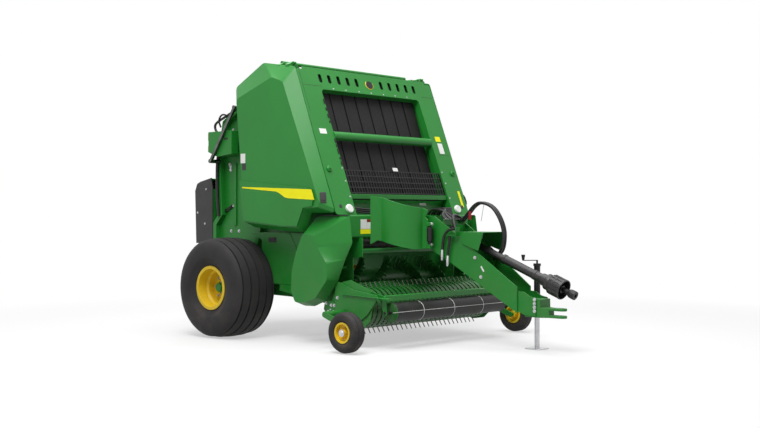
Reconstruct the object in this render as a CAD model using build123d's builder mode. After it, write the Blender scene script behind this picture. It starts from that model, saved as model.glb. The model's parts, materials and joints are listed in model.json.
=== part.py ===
from build123d import *
from math import atan2, cos, degrees, hypot, pi, radians, sin, tan
import os

# Round baler with a five foot chamber, standing unhitched on its wheels and its jack.
# Millimetres. X runs across (the shields with the stripe on either side), minus Y is the way
# it is towed, Z is up, and the floor is at zero. Outlines give how far ahead of the axle a
# point lies and its height.

# Main wheels
tyre_radius = 520
tyre_width = 540
tyre_outer_x = 1400
tyre_bore_radius = 205
tyre_shoulder = 95
tyre_crown = 18
rim_wall = 10
rim_lip_radius = 228
rim_dish_depth = 250
hub_radius = 88
hub_length = 150
spindle_radius = 38

# Chamber and side sheets
chamber_half = 780
sheet = 10
gate_gap = 8
hinge_ahead = 620
hinge_height = 2620
hinge_eye_radius = 60
frame_rise = 70
hinge_pin_radius = 25
rib_depth = 60
rib_width = 52

# Front face, a leaning plate with a window
face_half = 1035
face_bottom_ahead = 1530
face_bottom_height = 1280
face_lean = 21.4
face_length = 1573
face_sheet = 8
window_half = 755
window_top = 1364
window_return = 70
window_corner = 44
return_start = 60
slot_width = 35
slot_length = 96
slot_centre = 1488
header_slots = (190, 325, 460, 595, 725)
header_depth = 60
header_sheet = 6
emblem_radius = 46
cross_tube_radius = 45
cross_tube_ahead = 1190
cross_tube_height = 2070

# Belts and rollers
belt_count = 8
belt_width = 172
belt_pitch = 189
belt_thickness = 8
roller_radius = 48
roller_shaft_radius = 20
drum_radius = 62

# Shields
shield_edge_x = 1042
shield_face_x = 1150
shield_wall = 6
shield_step = 14
shield_hinge_x = 985
shield_hinge_height = 2806
hinge_rod_radius = 9
lower_panel_x = 900
lower_shield_x = 1120
lower_shield_edge_x = 985
arch_radius = 575

# Pickup
pickup_pivot_ahead = 1250
pickup_pivot_height = 620
pickup_half = 950
reel_ahead = 1700
reel_height = 375
tine_reach = 250
tine_bar_radius = 118
tine_bar = 20
tine_size = 7
tine_pitch = 68
tine_count = 26
reel_tube_radius = 42
stripper_radius = 196
stripper_sheet = 5
stripper_width = 46
pickup_beam = 60
pickup_beam_ahead = 1395
pickup_beam_height = 305
baffle_pivot_ahead = 1620
baffle_pivot_height = 585
baffle_roller_radius = 93
baffle_roller_ahead = 2065
baffle_roller_height = 352
baffle_bar_ahead = 2045
baffle_bar_width = 70
baffle_bar_height = 50
baffle_bar_lift = 18

# Feed rotor
rotor_ahead = 1250
rotor_height = 620
rotor_tube_radius = 105
rotor_reach = 238
rotor_half = 765
rotor_plate = 12
rotor_star_pitch = 66
rotor_star_count = 23

# Gauge wheels
gauge_radius = 190
gauge_width = 145
gauge_outer_x = 1400
gauge_ahead = 1946
gauge_lift = 4
gauge_bore_radius = 88

# Tongue and hitch
tongue_rear_x = 225
tongue_front_ahead = 3190
tongue_front_x = 92
tongue_plate = 12
tongue_nose_start = 2990
hitch_reach = 3462
hitch_pin_radius = 16.5
ear_thickness = 25
ear_gap = 42
ear_bottom = 325
ear_half = 44
hitch_rear_ahead = 3060
hitch_block_ahead = 3230
ear_start_ahead = 3300

# Jack
jack_x = 168
jack_ahead = 3024
jack_sleeve_radius = 30
jack_sleeve_bottom = 300
jack_sleeve_top = 790
jack_leg_radius = 24
jack_foot_size = 180
jack_foot_plate = 10

# Driveline
drive_pivot_ahead = 2050
drive_pivot_height = 1136
drive_slope = 21.6
drive_length = 1625
yoke_radius = 42
yoke_bore_radius = 17.46
yoke_start = 1476
guard_radius = 34
guard_end = 1050
sleeve_radius = 43
sleeve_start = 760
sleeve_end = 1175
bell_radius = 98
bell_start = 1250
bell_front = 1500
bell_wall = 6

# Hoses
hose_size = 24
drop_size = 20
coupler_radius = 16
coupler_length = 105

# Net wrap box behind the gate
tail_reach = 888
net_top = 1684
net_bottom = 960
net_half = 850
net_front = 580
net_wall = 6

running_gap = 6
slip = 0.3

# The object is centred along Y between the driveline's end and the net wrap box
front_reach = (
    drive_pivot_ahead
    + drive_length * cos(radians(drive_slope))
    + yoke_radius * sin(radians(drive_slope))
)
axle_y = (front_reach - tail_reach) / 2
axle_height = tyre_radius

os.makedirs("parts", exist_ok=True)


def ahead(distance):
    """Y of a point that lies this far ahead of the axle."""
    return axle_y - distance


def behind_face(height, depth):
    """How far ahead of the axle a point at this height and this deep behind the face lies."""
    rise = height - face_bottom_height
    return face_bottom_ahead - rise * tan(radians(face_lean)) - depth / cos(radians(face_lean))


def outline_points(outline):
    """Points of a side outline in the local coordinates of a plane that faces along X."""
    return [(ahead(distance), height) for distance, height in outline]


def side_face(outline, x, round_by=0):
    """Closed face of a side outline, standing at x."""
    with BuildSketch(Plane.YZ.offset(x)) as profile:
        with BuildLine():
            Polyline(*outline_points(outline), close=True)
        make_face()
        if round_by:
            fillet(profile.vertices(), round_by)
    return profile.sketch


def side_inset(outline, x, inset):
    """The face of a side outline drawn smaller all round, standing at x."""
    with BuildSketch(Plane.YZ.offset(x)) as profile:
        with BuildLine():
            Polyline(*outline_points(outline), close=True)
        make_face()
        offset(amount=-inset, kind=Kind.INTERSECTION, mode=Mode.REPLACE)
    return profile.sketch


def disc(distance, height, radius, x):
    """Round face seen from the side, standing at x."""
    with BuildSketch(Plane.YZ.offset(x)) as profile:
        with Locations((ahead(distance), height)):
            Circle(radius)
    return profile.sketch


def bar_face(start, end, radius, x):
    """Round-ended bar between two side points, standing at x."""
    with BuildSketch(Plane.YZ.offset(x)) as profile:
        SlotCenterPoint(
            ((ahead(start[0]) + ahead(end[0])) / 2, (start[1] + end[1]) / 2),
            (ahead(end[0]), end[1]),
            2 * radius,
        )
    return profile.sketch


def block(x_from, x_to, a_from, a_to, z_from, z_to):
    """Box given by its lowest and highest sides, for a block that stands square."""
    solid = Box(abs(x_to - x_from), abs(a_to - a_from), abs(z_to - z_from), mode=Mode.PRIVATE)
    return Pos((x_from + x_to) / 2, ahead((a_from + a_to) / 2), (z_from + z_to) / 2) * solid


def stub(end, before, x, radius, length):
    """Rod on the line from one side point to another, standing at x; a minus length runs outward."""
    direction = (0, end[0] - before[0], before[1] - end[1])
    rod = Cylinder(radius, abs(length), align=(Align.CENTER, Align.CENTER, Align.MAX), mode=Mode.PRIVATE)
    return Plane(origin=(x, ahead(end[0]), end[1]), z_dir=direction) * rod


def save(builder, name):
    """Label a finished piece and write it."""
    builder.part.label = name
    export_step(builder.part, f"parts/{name}.step")


frame_top = hinge_height + frame_rise
beam_half = 920
beam_rear = 1512
beam_front = 1604
beam_low = 1056
beam_high = face_bottom_height - face_sheet * sin(radians(face_lean)) - slip
throat_reach = 1640

# Side sheets of the frame. The seam with the gate leans from the hinge down to the axle.
seam = ((545, 2512), (420, 1900), (200, 1050), (100, 640))
frame_outline = (
    (hinge_ahead + 100, frame_top), (behind_face(frame_top, face_sheet), frame_top),
    (behind_face(beam_high, face_sheet), beam_high),
    (beam_rear - slip, beam_high), (beam_rear - slip, beam_low - slip), (throat_reach, beam_low - slip),
    (throat_reach, 870), (beam_rear, 850), (beam_rear, 640), (1440, 480), (1425, 396),
    (1100, 392), (620, 430), (-110, 445), (-110, 600), (seam[3][0], 600),
    seam[3], seam[2], seam[1], seam[0], (hinge_ahead + 40, hinge_height - 68),
    (hinge_ahead + 80, hinge_height),
)
axle_tube = 110
post_radius = 16
# Posts that carry the fixed side panels: distance ahead, height, outer end
posts = (
    (1000, 985, lower_panel_x),
    (1060, 560, lower_panel_x),
    (700, 560, lower_panel_x),
    (1262, 1000, lower_shield_x - shield_wall),
    (1420, 760, lower_shield_x - shield_wall),
)
hinge_ear_x = chamber_half + sheet
cylinder_x = 902
cylinder_base = (560, 1300)
cylinder_top = (100, 2300)
cylinder_pin_radius = 16

with BuildPart() as side_sheets:
    extrude(side_face(frame_outline, chamber_half), amount=sheet)
    extrude(disc(hinge_ahead, hinge_height, hinge_eye_radius + gate_gap, chamber_half),
            amount=sheet, mode=Mode.SUBTRACT)
    mirror(about=Plane.YZ)
save(side_sheets, "side_sheets")

# Lugs on the side sheets: gate hinge, lift cylinder, pickup pivot, panel posts and shield hinge
rod_rear = 690
rod_front = 902
lug_base_x = hinge_ear_x + sheet
arm_reach = 10
rail_ahead = 655
rail_rise = 140
rail_radius = 20
rail_half = 950
with BuildPart() as frame_lugs:
    extrude(bar_face((hinge_ahead, hinge_height), (hinge_ahead + 220, hinge_height - 20),
                     hinge_eye_radius, hinge_ear_x), amount=sheet)
    extrude(disc(hinge_ahead, hinge_height, hinge_pin_radius, chamber_half - sheet),
            amount=3 * sheet)
    extrude(bar_face(cylinder_base, (700, 1300), 45, hinge_ear_x), amount=sheet)
    extrude(disc(*cylinder_base, cylinder_pin_radius + 12, hinge_ear_x),
            amount=cylinder_x - 20 - slip - hinge_ear_x)
    extrude(disc(*cylinder_base, cylinder_pin_radius, hinge_ear_x),
            amount=cylinder_x + 24 - hinge_ear_x)
    for distance, height, outer in posts:
        extrude(disc(distance, height, post_radius, hinge_ear_x), amount=outer - hinge_ear_x)
    extrude(disc(pickup_pivot_ahead, pickup_pivot_height, 30, hinge_ear_x), amount=3 * sheet)
    with BuildSketch(Plane.XZ.offset(-ahead(rod_rear))):
        with Locations((shield_hinge_x, shield_hinge_height)):
            Circle(hinge_rod_radius)
    extrude(amount=rod_front - rod_rear)
    for arm in (735, 874):
        with BuildSketch(Plane.XZ.offset(-ahead(arm))):
            with BuildLine():
                Polyline((lug_base_x, hinge_height + 30), (lug_base_x, hinge_height - 40),
                         (shield_hinge_x + arm_reach, shield_hinge_height - 12),
                         (shield_hinge_x + arm_reach, shield_hinge_height + 12),
                         (shield_hinge_x - 12, shield_hinge_height + 12), close=True)
            make_face()
        extrude(amount=8)
    mirror(about=Plane.YZ)
    # Rail across the top, on two leaning posts that stand on the side sheets
    rail_height = frame_top + rail_rise
    post_outline = ((rail_ahead - 14, rail_height), (rail_ahead + 14, rail_height),
                    (hinge_ahead + 170, frame_top), (hinge_ahead + 110, frame_top))
    extrude(disc(rail_ahead, rail_height, rail_radius, -rail_half), amount=2 * rail_half)
    for side in (-1, 1):
        extrude(side_face(post_outline, side * chamber_half), amount=side * sheet)
save(frame_lugs, "frame_lugs")

# Front face: a leaning plate with a tall window, louvre slots and turned-in edges
face = Plane(
    origin=(0, ahead(face_bottom_ahead), face_bottom_height),
    x_dir=(1, 0, 0),
    z_dir=(0, -cos(radians(face_lean)), sin(radians(face_lean))),
)

with BuildPart() as front_face:
    with BuildSketch(face):
        with Locations((0, face_length / 2)):
            RectangleRounded(2 * face_half, face_length, 30)
        with Locations((0, window_top / 2 - window_corner)):
            RectangleRounded(2 * window_half, window_top + 2 * window_corner, window_corner,
                             mode=Mode.SUBTRACT)
        with Locations([(side * x, slot_centre) for x in header_slots for side in (-1, 1)]):
            SlotOverall(slot_length, slot_width, rotation=90, mode=Mode.SUBTRACT)
    extrude(amount=-face_sheet)
    with BuildSketch(face.offset(-face_sheet)):
        with Locations((0, window_top / 2)):
            RectangleRounded(2 * (window_half + face_sheet), window_top + 2 * face_sheet,
                             window_corner + face_sheet)
            RectangleRounded(2 * window_half, window_top, window_corner, mode=Mode.SUBTRACT)
        with Locations((0, return_start)):
            Rectangle(2 * face_half, 4 * return_start, align=(Align.CENTER, Align.MAX),
                      mode=Mode.SUBTRACT)
    extrude(amount=-window_return)
    with BuildSketch(face.offset(-header_depth)):
        with Locations((0, (window_top + face_length) / 2)):
            Rectangle(2 * (chamber_half - slip), face_length - window_top)
    extrude(amount=-header_sheet)
    with BuildSketch(face.offset(-face_sheet)):
        with Locations(*[(side * (face_half - face_sheet / 2), face_length / 2) for side in (-1, 1)]):
            Rectangle(face_sheet, face_length - 80)
        with Locations((0, face_length - face_sheet / 2)):
            Rectangle(2 * face_half - 80, face_sheet)
    extrude(amount=-header_depth + header_sheet)
    with BuildSketch(face):
        with Locations((0, slot_centre)):
            Circle(emblem_radius)
    extrude(amount=5)
save(front_face, "front_face")

# Black guard screen across the foot of the window
screen_low = 236
screen_high = 490
screen_bar = 9
screen_depth = 10
screen_columns = 38
screen_rows = 4
screen_half = window_half - slip
column_step = (2 * screen_half - screen_bar) / screen_columns
row_step = (screen_high - screen_low - screen_bar) / screen_rows
with BuildPart() as guard_screen:
    with BuildSketch(face.offset(-face_sheet - 12)):
        with Locations((0, (screen_low + screen_high) / 2)):
            Rectangle(2 * screen_half, screen_high - screen_low)
            with GridLocations(column_step, row_step, screen_columns, screen_rows):
                Rectangle(column_step - screen_bar, row_step - screen_bar, mode=Mode.SUBTRACT)
    extrude(amount=-screen_depth)
save(guard_screen, "guard_screen")

# Beam across the foot of the face, the rail under the screen and the tube across the window
with BuildPart() as front_beam:
    add(block(-beam_half, beam_half, beam_rear, beam_front, beam_low, beam_high))
    fillet(front_beam.edges().filter_by(Axis.X), 18)
    add(block(-window_half, window_half, 1382, 1440, 1436, 1484))
    extrude(disc(cross_tube_ahead, cross_tube_height, cross_tube_radius, -window_half),
            amount=2 * window_half)
save(front_beam, "front_beam")

spindle_end = tyre_outer_x - rim_dish_depth + 55

# Axle under the chamber, with a flange and a spindle at each side
with BuildPart() as axle:
    add(block(-chamber_half, chamber_half, -axle_tube / 2, axle_tube / 2,
              axle_height - axle_tube / 2, axle_height + axle_tube / 2))
    fillet(axle.edges().filter_by(Axis.X), 12)
    extrude(disc(0, axle_height, 78, hinge_ear_x), amount=18)
    extrude(disc(0, axle_height, 78, -hinge_ear_x), amount=-18)
    extrude(disc(0, axle_height, spindle_radius, hinge_ear_x), amount=spindle_end - hinge_ear_x)
    extrude(disc(0, axle_height, spindle_radius, -hinge_ear_x), amount=-(spindle_end - hinge_ear_x))
save(axle, "axle")

# Rollers: distance ahead, height, radius
front_rollers = (
    (868, 2590, roller_radius),
    (1292, 1362, roller_radius),
    (1400, 985, roller_radius),
    (900, 560, drum_radius),
    (560, 540, roller_radius),
)
gate_rollers = (
    (330, 2392, roller_radius),
    (-290, 2130, roller_radius),
    (-410, 1250, roller_radius),
    (-160, 800, roller_radius),
)


def roller(distance, height, radius):
    """A roller with its shaft ends, which reach the side sheets."""
    with BuildPart() as turned:
        extrude(disc(distance, height, radius, -chamber_half + running_gap),
                amount=2 * (chamber_half - running_gap))
        extrude(disc(distance, height, roller_shaft_radius, -chamber_half), amount=2 * chamber_half)
    return turned.part


turned_rollers = [roller(*place) for place in front_rollers]
with BuildPart() as frame_rollers:
    add(turned_rollers)
save(frame_rollers, "frame_rollers")

turned_rollers = [roller(*place) for place in gate_rollers]
with BuildPart() as tail_rollers:
    add(turned_rollers)
save(tail_rollers, "gate_rollers")


def belt_loop(route, radius, x, width):
    """One flat belt that runs round the rollers of a route and back."""
    outer = radius + slip + belt_thickness
    inner = radius + slip
    with BuildPart() as loop:
        for start, end in zip(route, route[1:]):
            extrude(bar_face(start, end, outer, x), amount=width)
        for start, end in zip(route, route[1:]):
            extrude(bar_face(start, end, inner, x), amount=width, mode=Mode.SUBTRACT)
    return loop.part


belt_starts = [
    (index - (belt_count - 1) / 2) * belt_pitch - belt_width / 2 for index in range(belt_count)
]
front_route = [place[:2] for place in front_rollers[:2]]
loops = [belt_loop(front_route, roller_radius, start_x, belt_width) for start_x in belt_starts]
with BuildPart() as front_belts:
    add(loops)
save(front_belts, "front_belts")

gate_route = [place[:2] for place in gate_rollers]
loops = [belt_loop(gate_route, roller_radius, start_x, belt_width) for start_x in belt_starts]
with BuildPart() as gate_belts:
    add(loops)
save(gate_belts, "gate_belts")

# Feed rotor: a drum with curved three-armed stars that wind along it
star_hook = ((0, 96), (52, 100), (60, 150), (50, 196), (22, rotor_reach - 4), (0, rotor_reach),
             (14, 190), (10, 150), (-20, 110))
rotor_plane = Plane(origin=(0, ahead(rotor_ahead), rotor_height), x_dir=(0, 1, 0), z_dir=(1, 0, 0))
star_turn = 21
with BuildPart() as feed_rotor:
    with BuildSketch(rotor_plane.offset(-rotor_half)):
        Circle(rotor_tube_radius)
    extrude(amount=2 * rotor_half)
    with BuildSketch(rotor_plane.offset(-chamber_half)):
        Circle(34)
    extrude(amount=2 * chamber_half)
    for index in range(rotor_star_count):
        star_x = (index - (rotor_star_count - 1) / 2) * rotor_star_pitch - rotor_plate / 2
        turn = abs(index - (rotor_star_count - 1) / 2) * star_turn
        with BuildSketch(rotor_plane.offset(star_x)):
            with PolarLocations(0, 3, start_angle=turn):
                Polygon(*star_hook, align=None)
        extrude(amount=rotor_plate)
save(feed_rotor, "feed_rotor")

# Throat: the pan under the rotor and the tube above it
with BuildPart() as throat:
    extrude(bar_face((1608, 912), (1608, 922), 26, -chamber_half), amount=2 * chamber_half)
    with BuildSketch(rotor_plane.offset(-chamber_half)):
        Circle(rotor_reach + 14)
        Circle(rotor_reach + 8, mode=Mode.SUBTRACT)
        Rectangle(900, 900, align=(Align.CENTER, Align.MIN), mode=Mode.SUBTRACT)
        with Locations((-700, 0)):
            Rectangle(1200, 900, align=(Align.CENTER, Align.MAX), mode=Mode.SUBTRACT)
    extrude(amount=2 * chamber_half)
save(throat, "throat")


def soft_face(corners, x, inset=0):
    """Closed side face at x from corners of distance ahead, height and corner radius."""
    with BuildSketch(Plane.YZ.offset(x)) as profile:
        with BuildLine():
            FilletPolyline(*[(ahead(distance), height) for distance, height, _ in corners],
                           radius=[radius for _, _, radius in corners], close=True)
        make_face()
        if inset:
            offset(amount=-inset, kind=Kind.INTERSECTION, mode=Mode.REPLACE)
    return profile.sketch


def panned_shell(edge_corners, face_corners, edge_x, face_x, wall):
    """Bevelled side shield: its edge outline rises to a flat face, and the inside is open."""
    with BuildPart() as shell:
        loft([soft_face(edge_corners, edge_x), soft_face(face_corners, face_x)], ruled=True)
        loft([soft_face(edge_corners, edge_x, wall), soft_face(face_corners, face_x - wall, wall)],
             ruled=True, mode=Mode.SUBTRACT)
    return shell.part


# Upper side shields, hinged along their tops
upper_edge = ((40, 2612, 60), (480, 2838, 90), (952, 2762, 40), (1500, 1338, 12),
              (1494, 1300, 12), (1190, 1296, 40), (1112, 1104, 30), (885, 1110, 60), (330, 1150, 30))
upper_face = ((176, 2474, 50), (720, 2662, 90), (884, 2606, 70), (1402, 1400, 30),
              (1385, 1352, 20), (1172, 1336, 50), (1096, 1150, 30), (885, 1156, 60), (306, 1200, 40))
step_outline = ((244, 1630), (1262, 1540), (1330, 1420), (1316, 1362), (1190, 1345), (1104, 1166),
                (888, 1168), (300, 1218))
shield_straps = (708, 845)
upper_shell = panned_shell(upper_edge, upper_face, shield_edge_x, shield_face_x, shield_wall)
for side, name in ((1, "upper_shield_right"), (-1, "upper_shield_left")):
    with BuildPart() as upper_shield:
        add(upper_shell)
        extrude(side_face(step_outline, shield_face_x), amount=shield_step)
        for strap in shield_straps:
            with BuildSketch(Plane.XZ.offset(-ahead(strap - 25))):
                with Locations((shield_hinge_x, shield_hinge_height)):
                    Circle(hinge_rod_radius + slip + 7)
                with BuildLine():
                    Polyline((shield_hinge_x, shield_hinge_height + 16),
                             (shield_edge_x + 12, shield_hinge_height - 16),
                             (shield_edge_x + 12, shield_hinge_height - 106),
                             (shield_hinge_x, shield_hinge_height - 16), close=True)
                make_face()
                with Locations((shield_hinge_x, shield_hinge_height)):
                    Circle(hinge_rod_radius + slip, mode=Mode.SUBTRACT)
            extrude(amount=50)
        if side < 0:
            mirror(about=Plane.YZ, mode=Mode.REPLACE)
    save(upper_shield, name)

# Lower panels with the wheel arch cut away, and the bevelled lower front shields
lower_outline = ((120, 1092), (1100, 1092), (1150, 900), (1130, 640), (1040, 500), (860, 455),
                 (560, 500), (120, 900))
with BuildPart() as lower_panels:
    extrude(side_face(lower_outline, lower_panel_x), amount=shield_wall)
    extrude(disc(0, axle_height, arch_radius, lower_panel_x), amount=shield_wall, mode=Mode.SUBTRACT)
    mirror(about=Plane.YZ)
save(lower_panels, "lower_panels")

lower_edge = ((1126, 1092, 40), (1200, 1264, 50), (1655, 1268, 12), (1692, 1010, 60),
              (1600, 853, 80), (1500, 640, 80), (1335, 436, 80), (1180, 374, 60), (1008, 370, 60),
              (925, 513, 60), (940, 720, 60), (1010, 905, 60))
lower_face = ((1122, 1058, 20), (1156, 1094, 20), (1290, 1074, 30), (1346, 966, 50),
              (1468, 815, 60), (1478, 645, 60), (1316, 466, 70), (1178, 420, 40), (1032, 414, 40),
              (975, 526, 50), (985, 715, 50), (1045, 900, 50))
lower_shell = panned_shell(lower_edge, lower_face, lower_shield_edge_x, lower_shield_x, shield_wall)
with BuildPart() as lower_shields:
    add(lower_shell)
    mirror(about=Plane.YZ)
save(lower_shields, "lower_shields")

# Gate: side sheets with pressed ribs, cross tubes, light boxes and the belt strut
gate_outline = (
    (seam[0][0] - gate_gap, hinge_height - 80), (hinge_ahead - 240, hinge_height - 20),
    (-190, 2420), (-407, 2297), (-500, 1857),
    (-467, 1297), (-570, 1187), (-570, 1000), (-420, 760), (-180, 690), (seam[3][0] - gate_gap, 690),
    (seam[2][0] - gate_gap, seam[2][1]), (seam[1][0] - gate_gap, seam[1][1]),
)
gate_tubes = ((-120, 2330), (-430, 1920), (-500, 1130))
with BuildPart() as gate_sides:
    extrude(side_face(gate_outline, chamber_half), amount=sheet)
    extrude(bar_face((hinge_ahead, hinge_height), (hinge_ahead - 220, hinge_height - 80),
                     hinge_eye_radius, chamber_half), amount=sheet)
    extrude(disc(hinge_ahead, hinge_height, hinge_pin_radius + slip, chamber_half),
            amount=sheet, mode=Mode.SUBTRACT)
    extrude(side_face(gate_outline, hinge_ear_x), amount=rib_depth)
    extrude(side_inset(gate_outline, hinge_ear_x, rib_width), amount=rib_depth, mode=Mode.SUBTRACT)
    extrude(disc(hinge_ahead, hinge_height, 240, hinge_ear_x), amount=rib_depth, mode=Mode.SUBTRACT)
    mirror(about=Plane.YZ)
save(gate_sides, "gate_sides")

strut_low = (-458, 1860)
strut_high = (-60, 2420)
strut_x = chamber_half + sheet + rib_depth
with BuildPart() as belt_struts:
    extrude(bar_face(strut_low, strut_high, 15, strut_x + 108), amount=30)
    extrude(disc(*strut_low, 22, strut_x), amount=142)
    extrude(disc(*strut_high, 22, strut_x), amount=142)
    mirror(about=Plane.YZ)
save(belt_struts, "belt_struts")

light_outline = ((-140, 2180), (-530, 2180), (-530, 1960), (-380, 1905), (-140, 1930))
with BuildPart() as gate_frame:
    extrude(side_face(light_outline, strut_x), amount=100)
    extrude(disc(*cylinder_top, 34, hinge_ear_x), amount=cylinder_x - 20 - slip - hinge_ear_x)
    mirror(about=Plane.YZ)
    for distance, height in gate_tubes:
        add(block(-chamber_half, chamber_half, distance - 30, distance + 30, height - 30, height + 30))
save(gate_frame, "gate_frame")

lamp_outlines = (
    ((-530, 2172), (-545, 2168), (-545, 2088), (-530, 2084)),
    ((-530, 2030), (-545, 2026), (-545, 1964), (-530, 1960)),
)
with BuildPart() as tail_lamps:
    for outline in lamp_outlines:
        extrude(side_face(outline, strut_x + 8), amount=84)
    mirror(about=Plane.YZ)
save(tail_lamps, "tail_lamps")

# Gate lift cylinders, one each side, from the frame to the gate
cylinder_length = hypot(cylinder_top[0] - cylinder_base[0], cylinder_top[1] - cylinder_base[1])
barrel_radius = 38
rod_radius = 19
barrel_share = cylinder_length - 150
toward_top = (
    0,
    -(cylinder_top[0] - cylinder_base[0]) / cylinder_length,
    (cylinder_top[1] - cylinder_base[1]) / cylinder_length,
)
for side, word in ((1, "right"), (-1, "left")):
    lane = Plane(origin=(side * cylinder_x, ahead(cylinder_base[0]), cylinder_base[1]),
                 x_dir=(1, 0, 0), z_dir=toward_top)
    with BuildPart() as cylinder_barrel:
        extrude(disc(*cylinder_base, 36, side * cylinder_x - 20), amount=40)
        with BuildSketch(lane.offset(30)):
            Circle(barrel_radius)
        extrude(amount=barrel_share - 30)
        with BuildSketch(lane.offset(60)):
            Circle(rod_radius + slip)
        extrude(amount=barrel_share, mode=Mode.SUBTRACT)
        extrude(disc(*cylinder_base, cylinder_pin_radius + slip, side * cylinder_x - 20),
                amount=40, mode=Mode.SUBTRACT)
    save(cylinder_barrel, f"cylinder_barrel_{word}")
    with BuildPart() as cylinder_rod:
        with BuildSketch(lane.offset(70)):
            Circle(rod_radius)
        extrude(amount=cylinder_length - 70 - 20)
        extrude(disc(*cylinder_top, 34, side * cylinder_x - 20), amount=40)
        extrude(disc(*cylinder_top, 16, side * cylinder_x - 20), amount=40, mode=Mode.SUBTRACT)
    save(cylinder_rod, f"cylinder_rod_{word}")

# Net wrap box behind the gate: open trough, black end panels and a hinged cover
net_end_outline = ((-net_front, net_top - 110), (-605, net_top), (-800, net_top - 40),
                   (-852, net_top - 62), (-tail_reach, 1544), (-868, net_bottom),
                   (-net_front, net_bottom))
net_hinge = (-598, 1668)
net_pin_radius = 5
with BuildPart() as net_ends:
    extrude(side_face(net_end_outline, net_half - 12), amount=12)
    extrude(disc(*net_hinge, net_pin_radius, net_half - 52), amount=40)
    mirror(about=Plane.YZ)
save(net_ends, "net_ends")

with BuildPart() as net_trough:
    add(block(-net_half + 12, net_half - 12, -net_front, -net_front - net_wall, net_bottom, 1560))
    add(block(-net_half + 12, net_half - 12, -net_front, -860, net_bottom, net_bottom + net_wall))
    add(block(-net_half + 12, net_half - 12, -854, -860, net_bottom, 1180))
    for side in (-1, 1):
        add(block(side * (chamber_half - 60), side * chamber_half, -560, -net_front, 1010, 1170))
save(net_trough, "net_trough")

cover_outer = ((-612, 1680), (-800, 1642), (-848, 1622), (-880, 1544), (-868, 1196))
cover_inner = ((-862, 1196), (-873, 1542), (-843, 1617), (-797, 1635), (-612, 1673))
with BuildPart() as net_cover:
    extrude(side_face(cover_outer + cover_inner, -net_half + 12 + running_gap),
            amount=2 * (net_half - 12 - running_gap))
    extrude(bar_face(net_hinge, (-620, 1672), 9, -net_half + 12 + running_gap),
            amount=2 * (net_half - 12 - running_gap))
    extrude(disc(*net_hinge, net_pin_radius + slip, -net_half), amount=2 * net_half, mode=Mode.SUBTRACT)
save(net_cover, "net_cover")

# Net roll across the trough
with BuildPart() as net_roll:
    extrude(disc(-735, 1290, 110, -610), amount=1220)
    extrude(disc(-735, 1290, 20, -net_half + 12), amount=2 * (net_half - 12))
save(net_roll, "net_roll")

# Main wheels
bead_x = tyre_outer_x - 62
tyre_side = ((bead_x, tyre_bore_radius), (bead_x + 2, rim_lip_radius + 8),
             (tyre_outer_x - 18, rim_lip_radius + 50),
             (tyre_outer_x, tyre_radius - 150), (tyre_outer_x - 30, tyre_radius - 52),
             (tyre_outer_x - tyre_shoulder, tyre_radius - tyre_crown))
tyre_middle_x = tyre_outer_x - tyre_width / 2
tyre_far = [(2 * tyre_middle_x - x, radius) for x, radius in reversed(tyre_side)]
dish_x = tyre_outer_x - rim_dish_depth


def wheel_ring(profile, axle_height_here, distance):
    """Ring turned about a wheel's axle from points of x and radius."""
    with BuildPart() as ring:
        centre = (0, ahead(distance), axle_height_here)
        with BuildSketch(Plane(origin=centre, x_dir=(1, 0, 0), z_dir=(0, -1, 0))):
            with BuildLine():
                Polyline(*profile, close=True)
            make_face()
        revolve(axis=Axis(centre, (1, 0, 0)))
    return ring.part


tyre_profile = [*tyre_side, (tyre_middle_x, tyre_radius), *tyre_far]
rim_far_x = 2 * tyre_middle_x - bead_x
rim_bed = tyre_bore_radius - slip
rim_profile = [
    (bead_x + 2.3, rim_bed), (bead_x + 3, rim_lip_radius), (bead_x + 14, rim_lip_radius),
    (bead_x + 14, rim_bed - rim_wall), (bead_x - 90, rim_bed - rim_wall - 6),
    (bead_x - 110, rim_bed - rim_wall - 26), (dish_x + 12, rim_bed - rim_wall - 30),
    (dish_x + 12, hub_radius), (dish_x + 26, hub_radius - 6), (dish_x + 34, hub_radius - 36),
    (dish_x + 64, hub_radius - 40), (dish_x + 70, 30), (dish_x + 70, 0), (dish_x + 60, 0),
    (dish_x + 60, spindle_radius + slip), (dish_x - hub_length, spindle_radius + slip),
    (dish_x - hub_length, hub_radius - 26), (dish_x - 16, hub_radius - 20), (dish_x, hub_radius),
    (dish_x, rim_bed - rim_wall - 30),
    (rim_far_x + 60, rim_bed - rim_wall - 8), (rim_far_x - 14, rim_bed - rim_wall),
    (rim_far_x - 14, rim_lip_radius), (rim_far_x - 3, rim_lip_radius), (rim_far_x - 2.3, rim_bed),
]
for side, word in ((1, "right"), (-1, "left")):
    for name, profile in (("main_tyre", tyre_profile), ("main_rim", rim_profile)):
        ring = wheel_ring(profile, axle_height, 0)
        with BuildPart() as wheel_piece:
            add(ring)
            if side < 0:
                mirror(about=Plane.YZ, mode=Mode.REPLACE)
        save(wheel_piece, f"{name}_{word}")

# Pickup: end plates and beam, stripper bands, tine reel
plate_rear = pickup_beam_ahead - pickup_beam / 2 - 20
plate_outline = ((plate_rear, pickup_beam_height - 43), (plate_rear, pickup_beam_height + 43),
                 (1470, 612), (1640, 650), (1900, 560), (1935, 430),
                 (1900, 270), (1790, 172), (1640, 150), (1500, 200))
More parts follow.
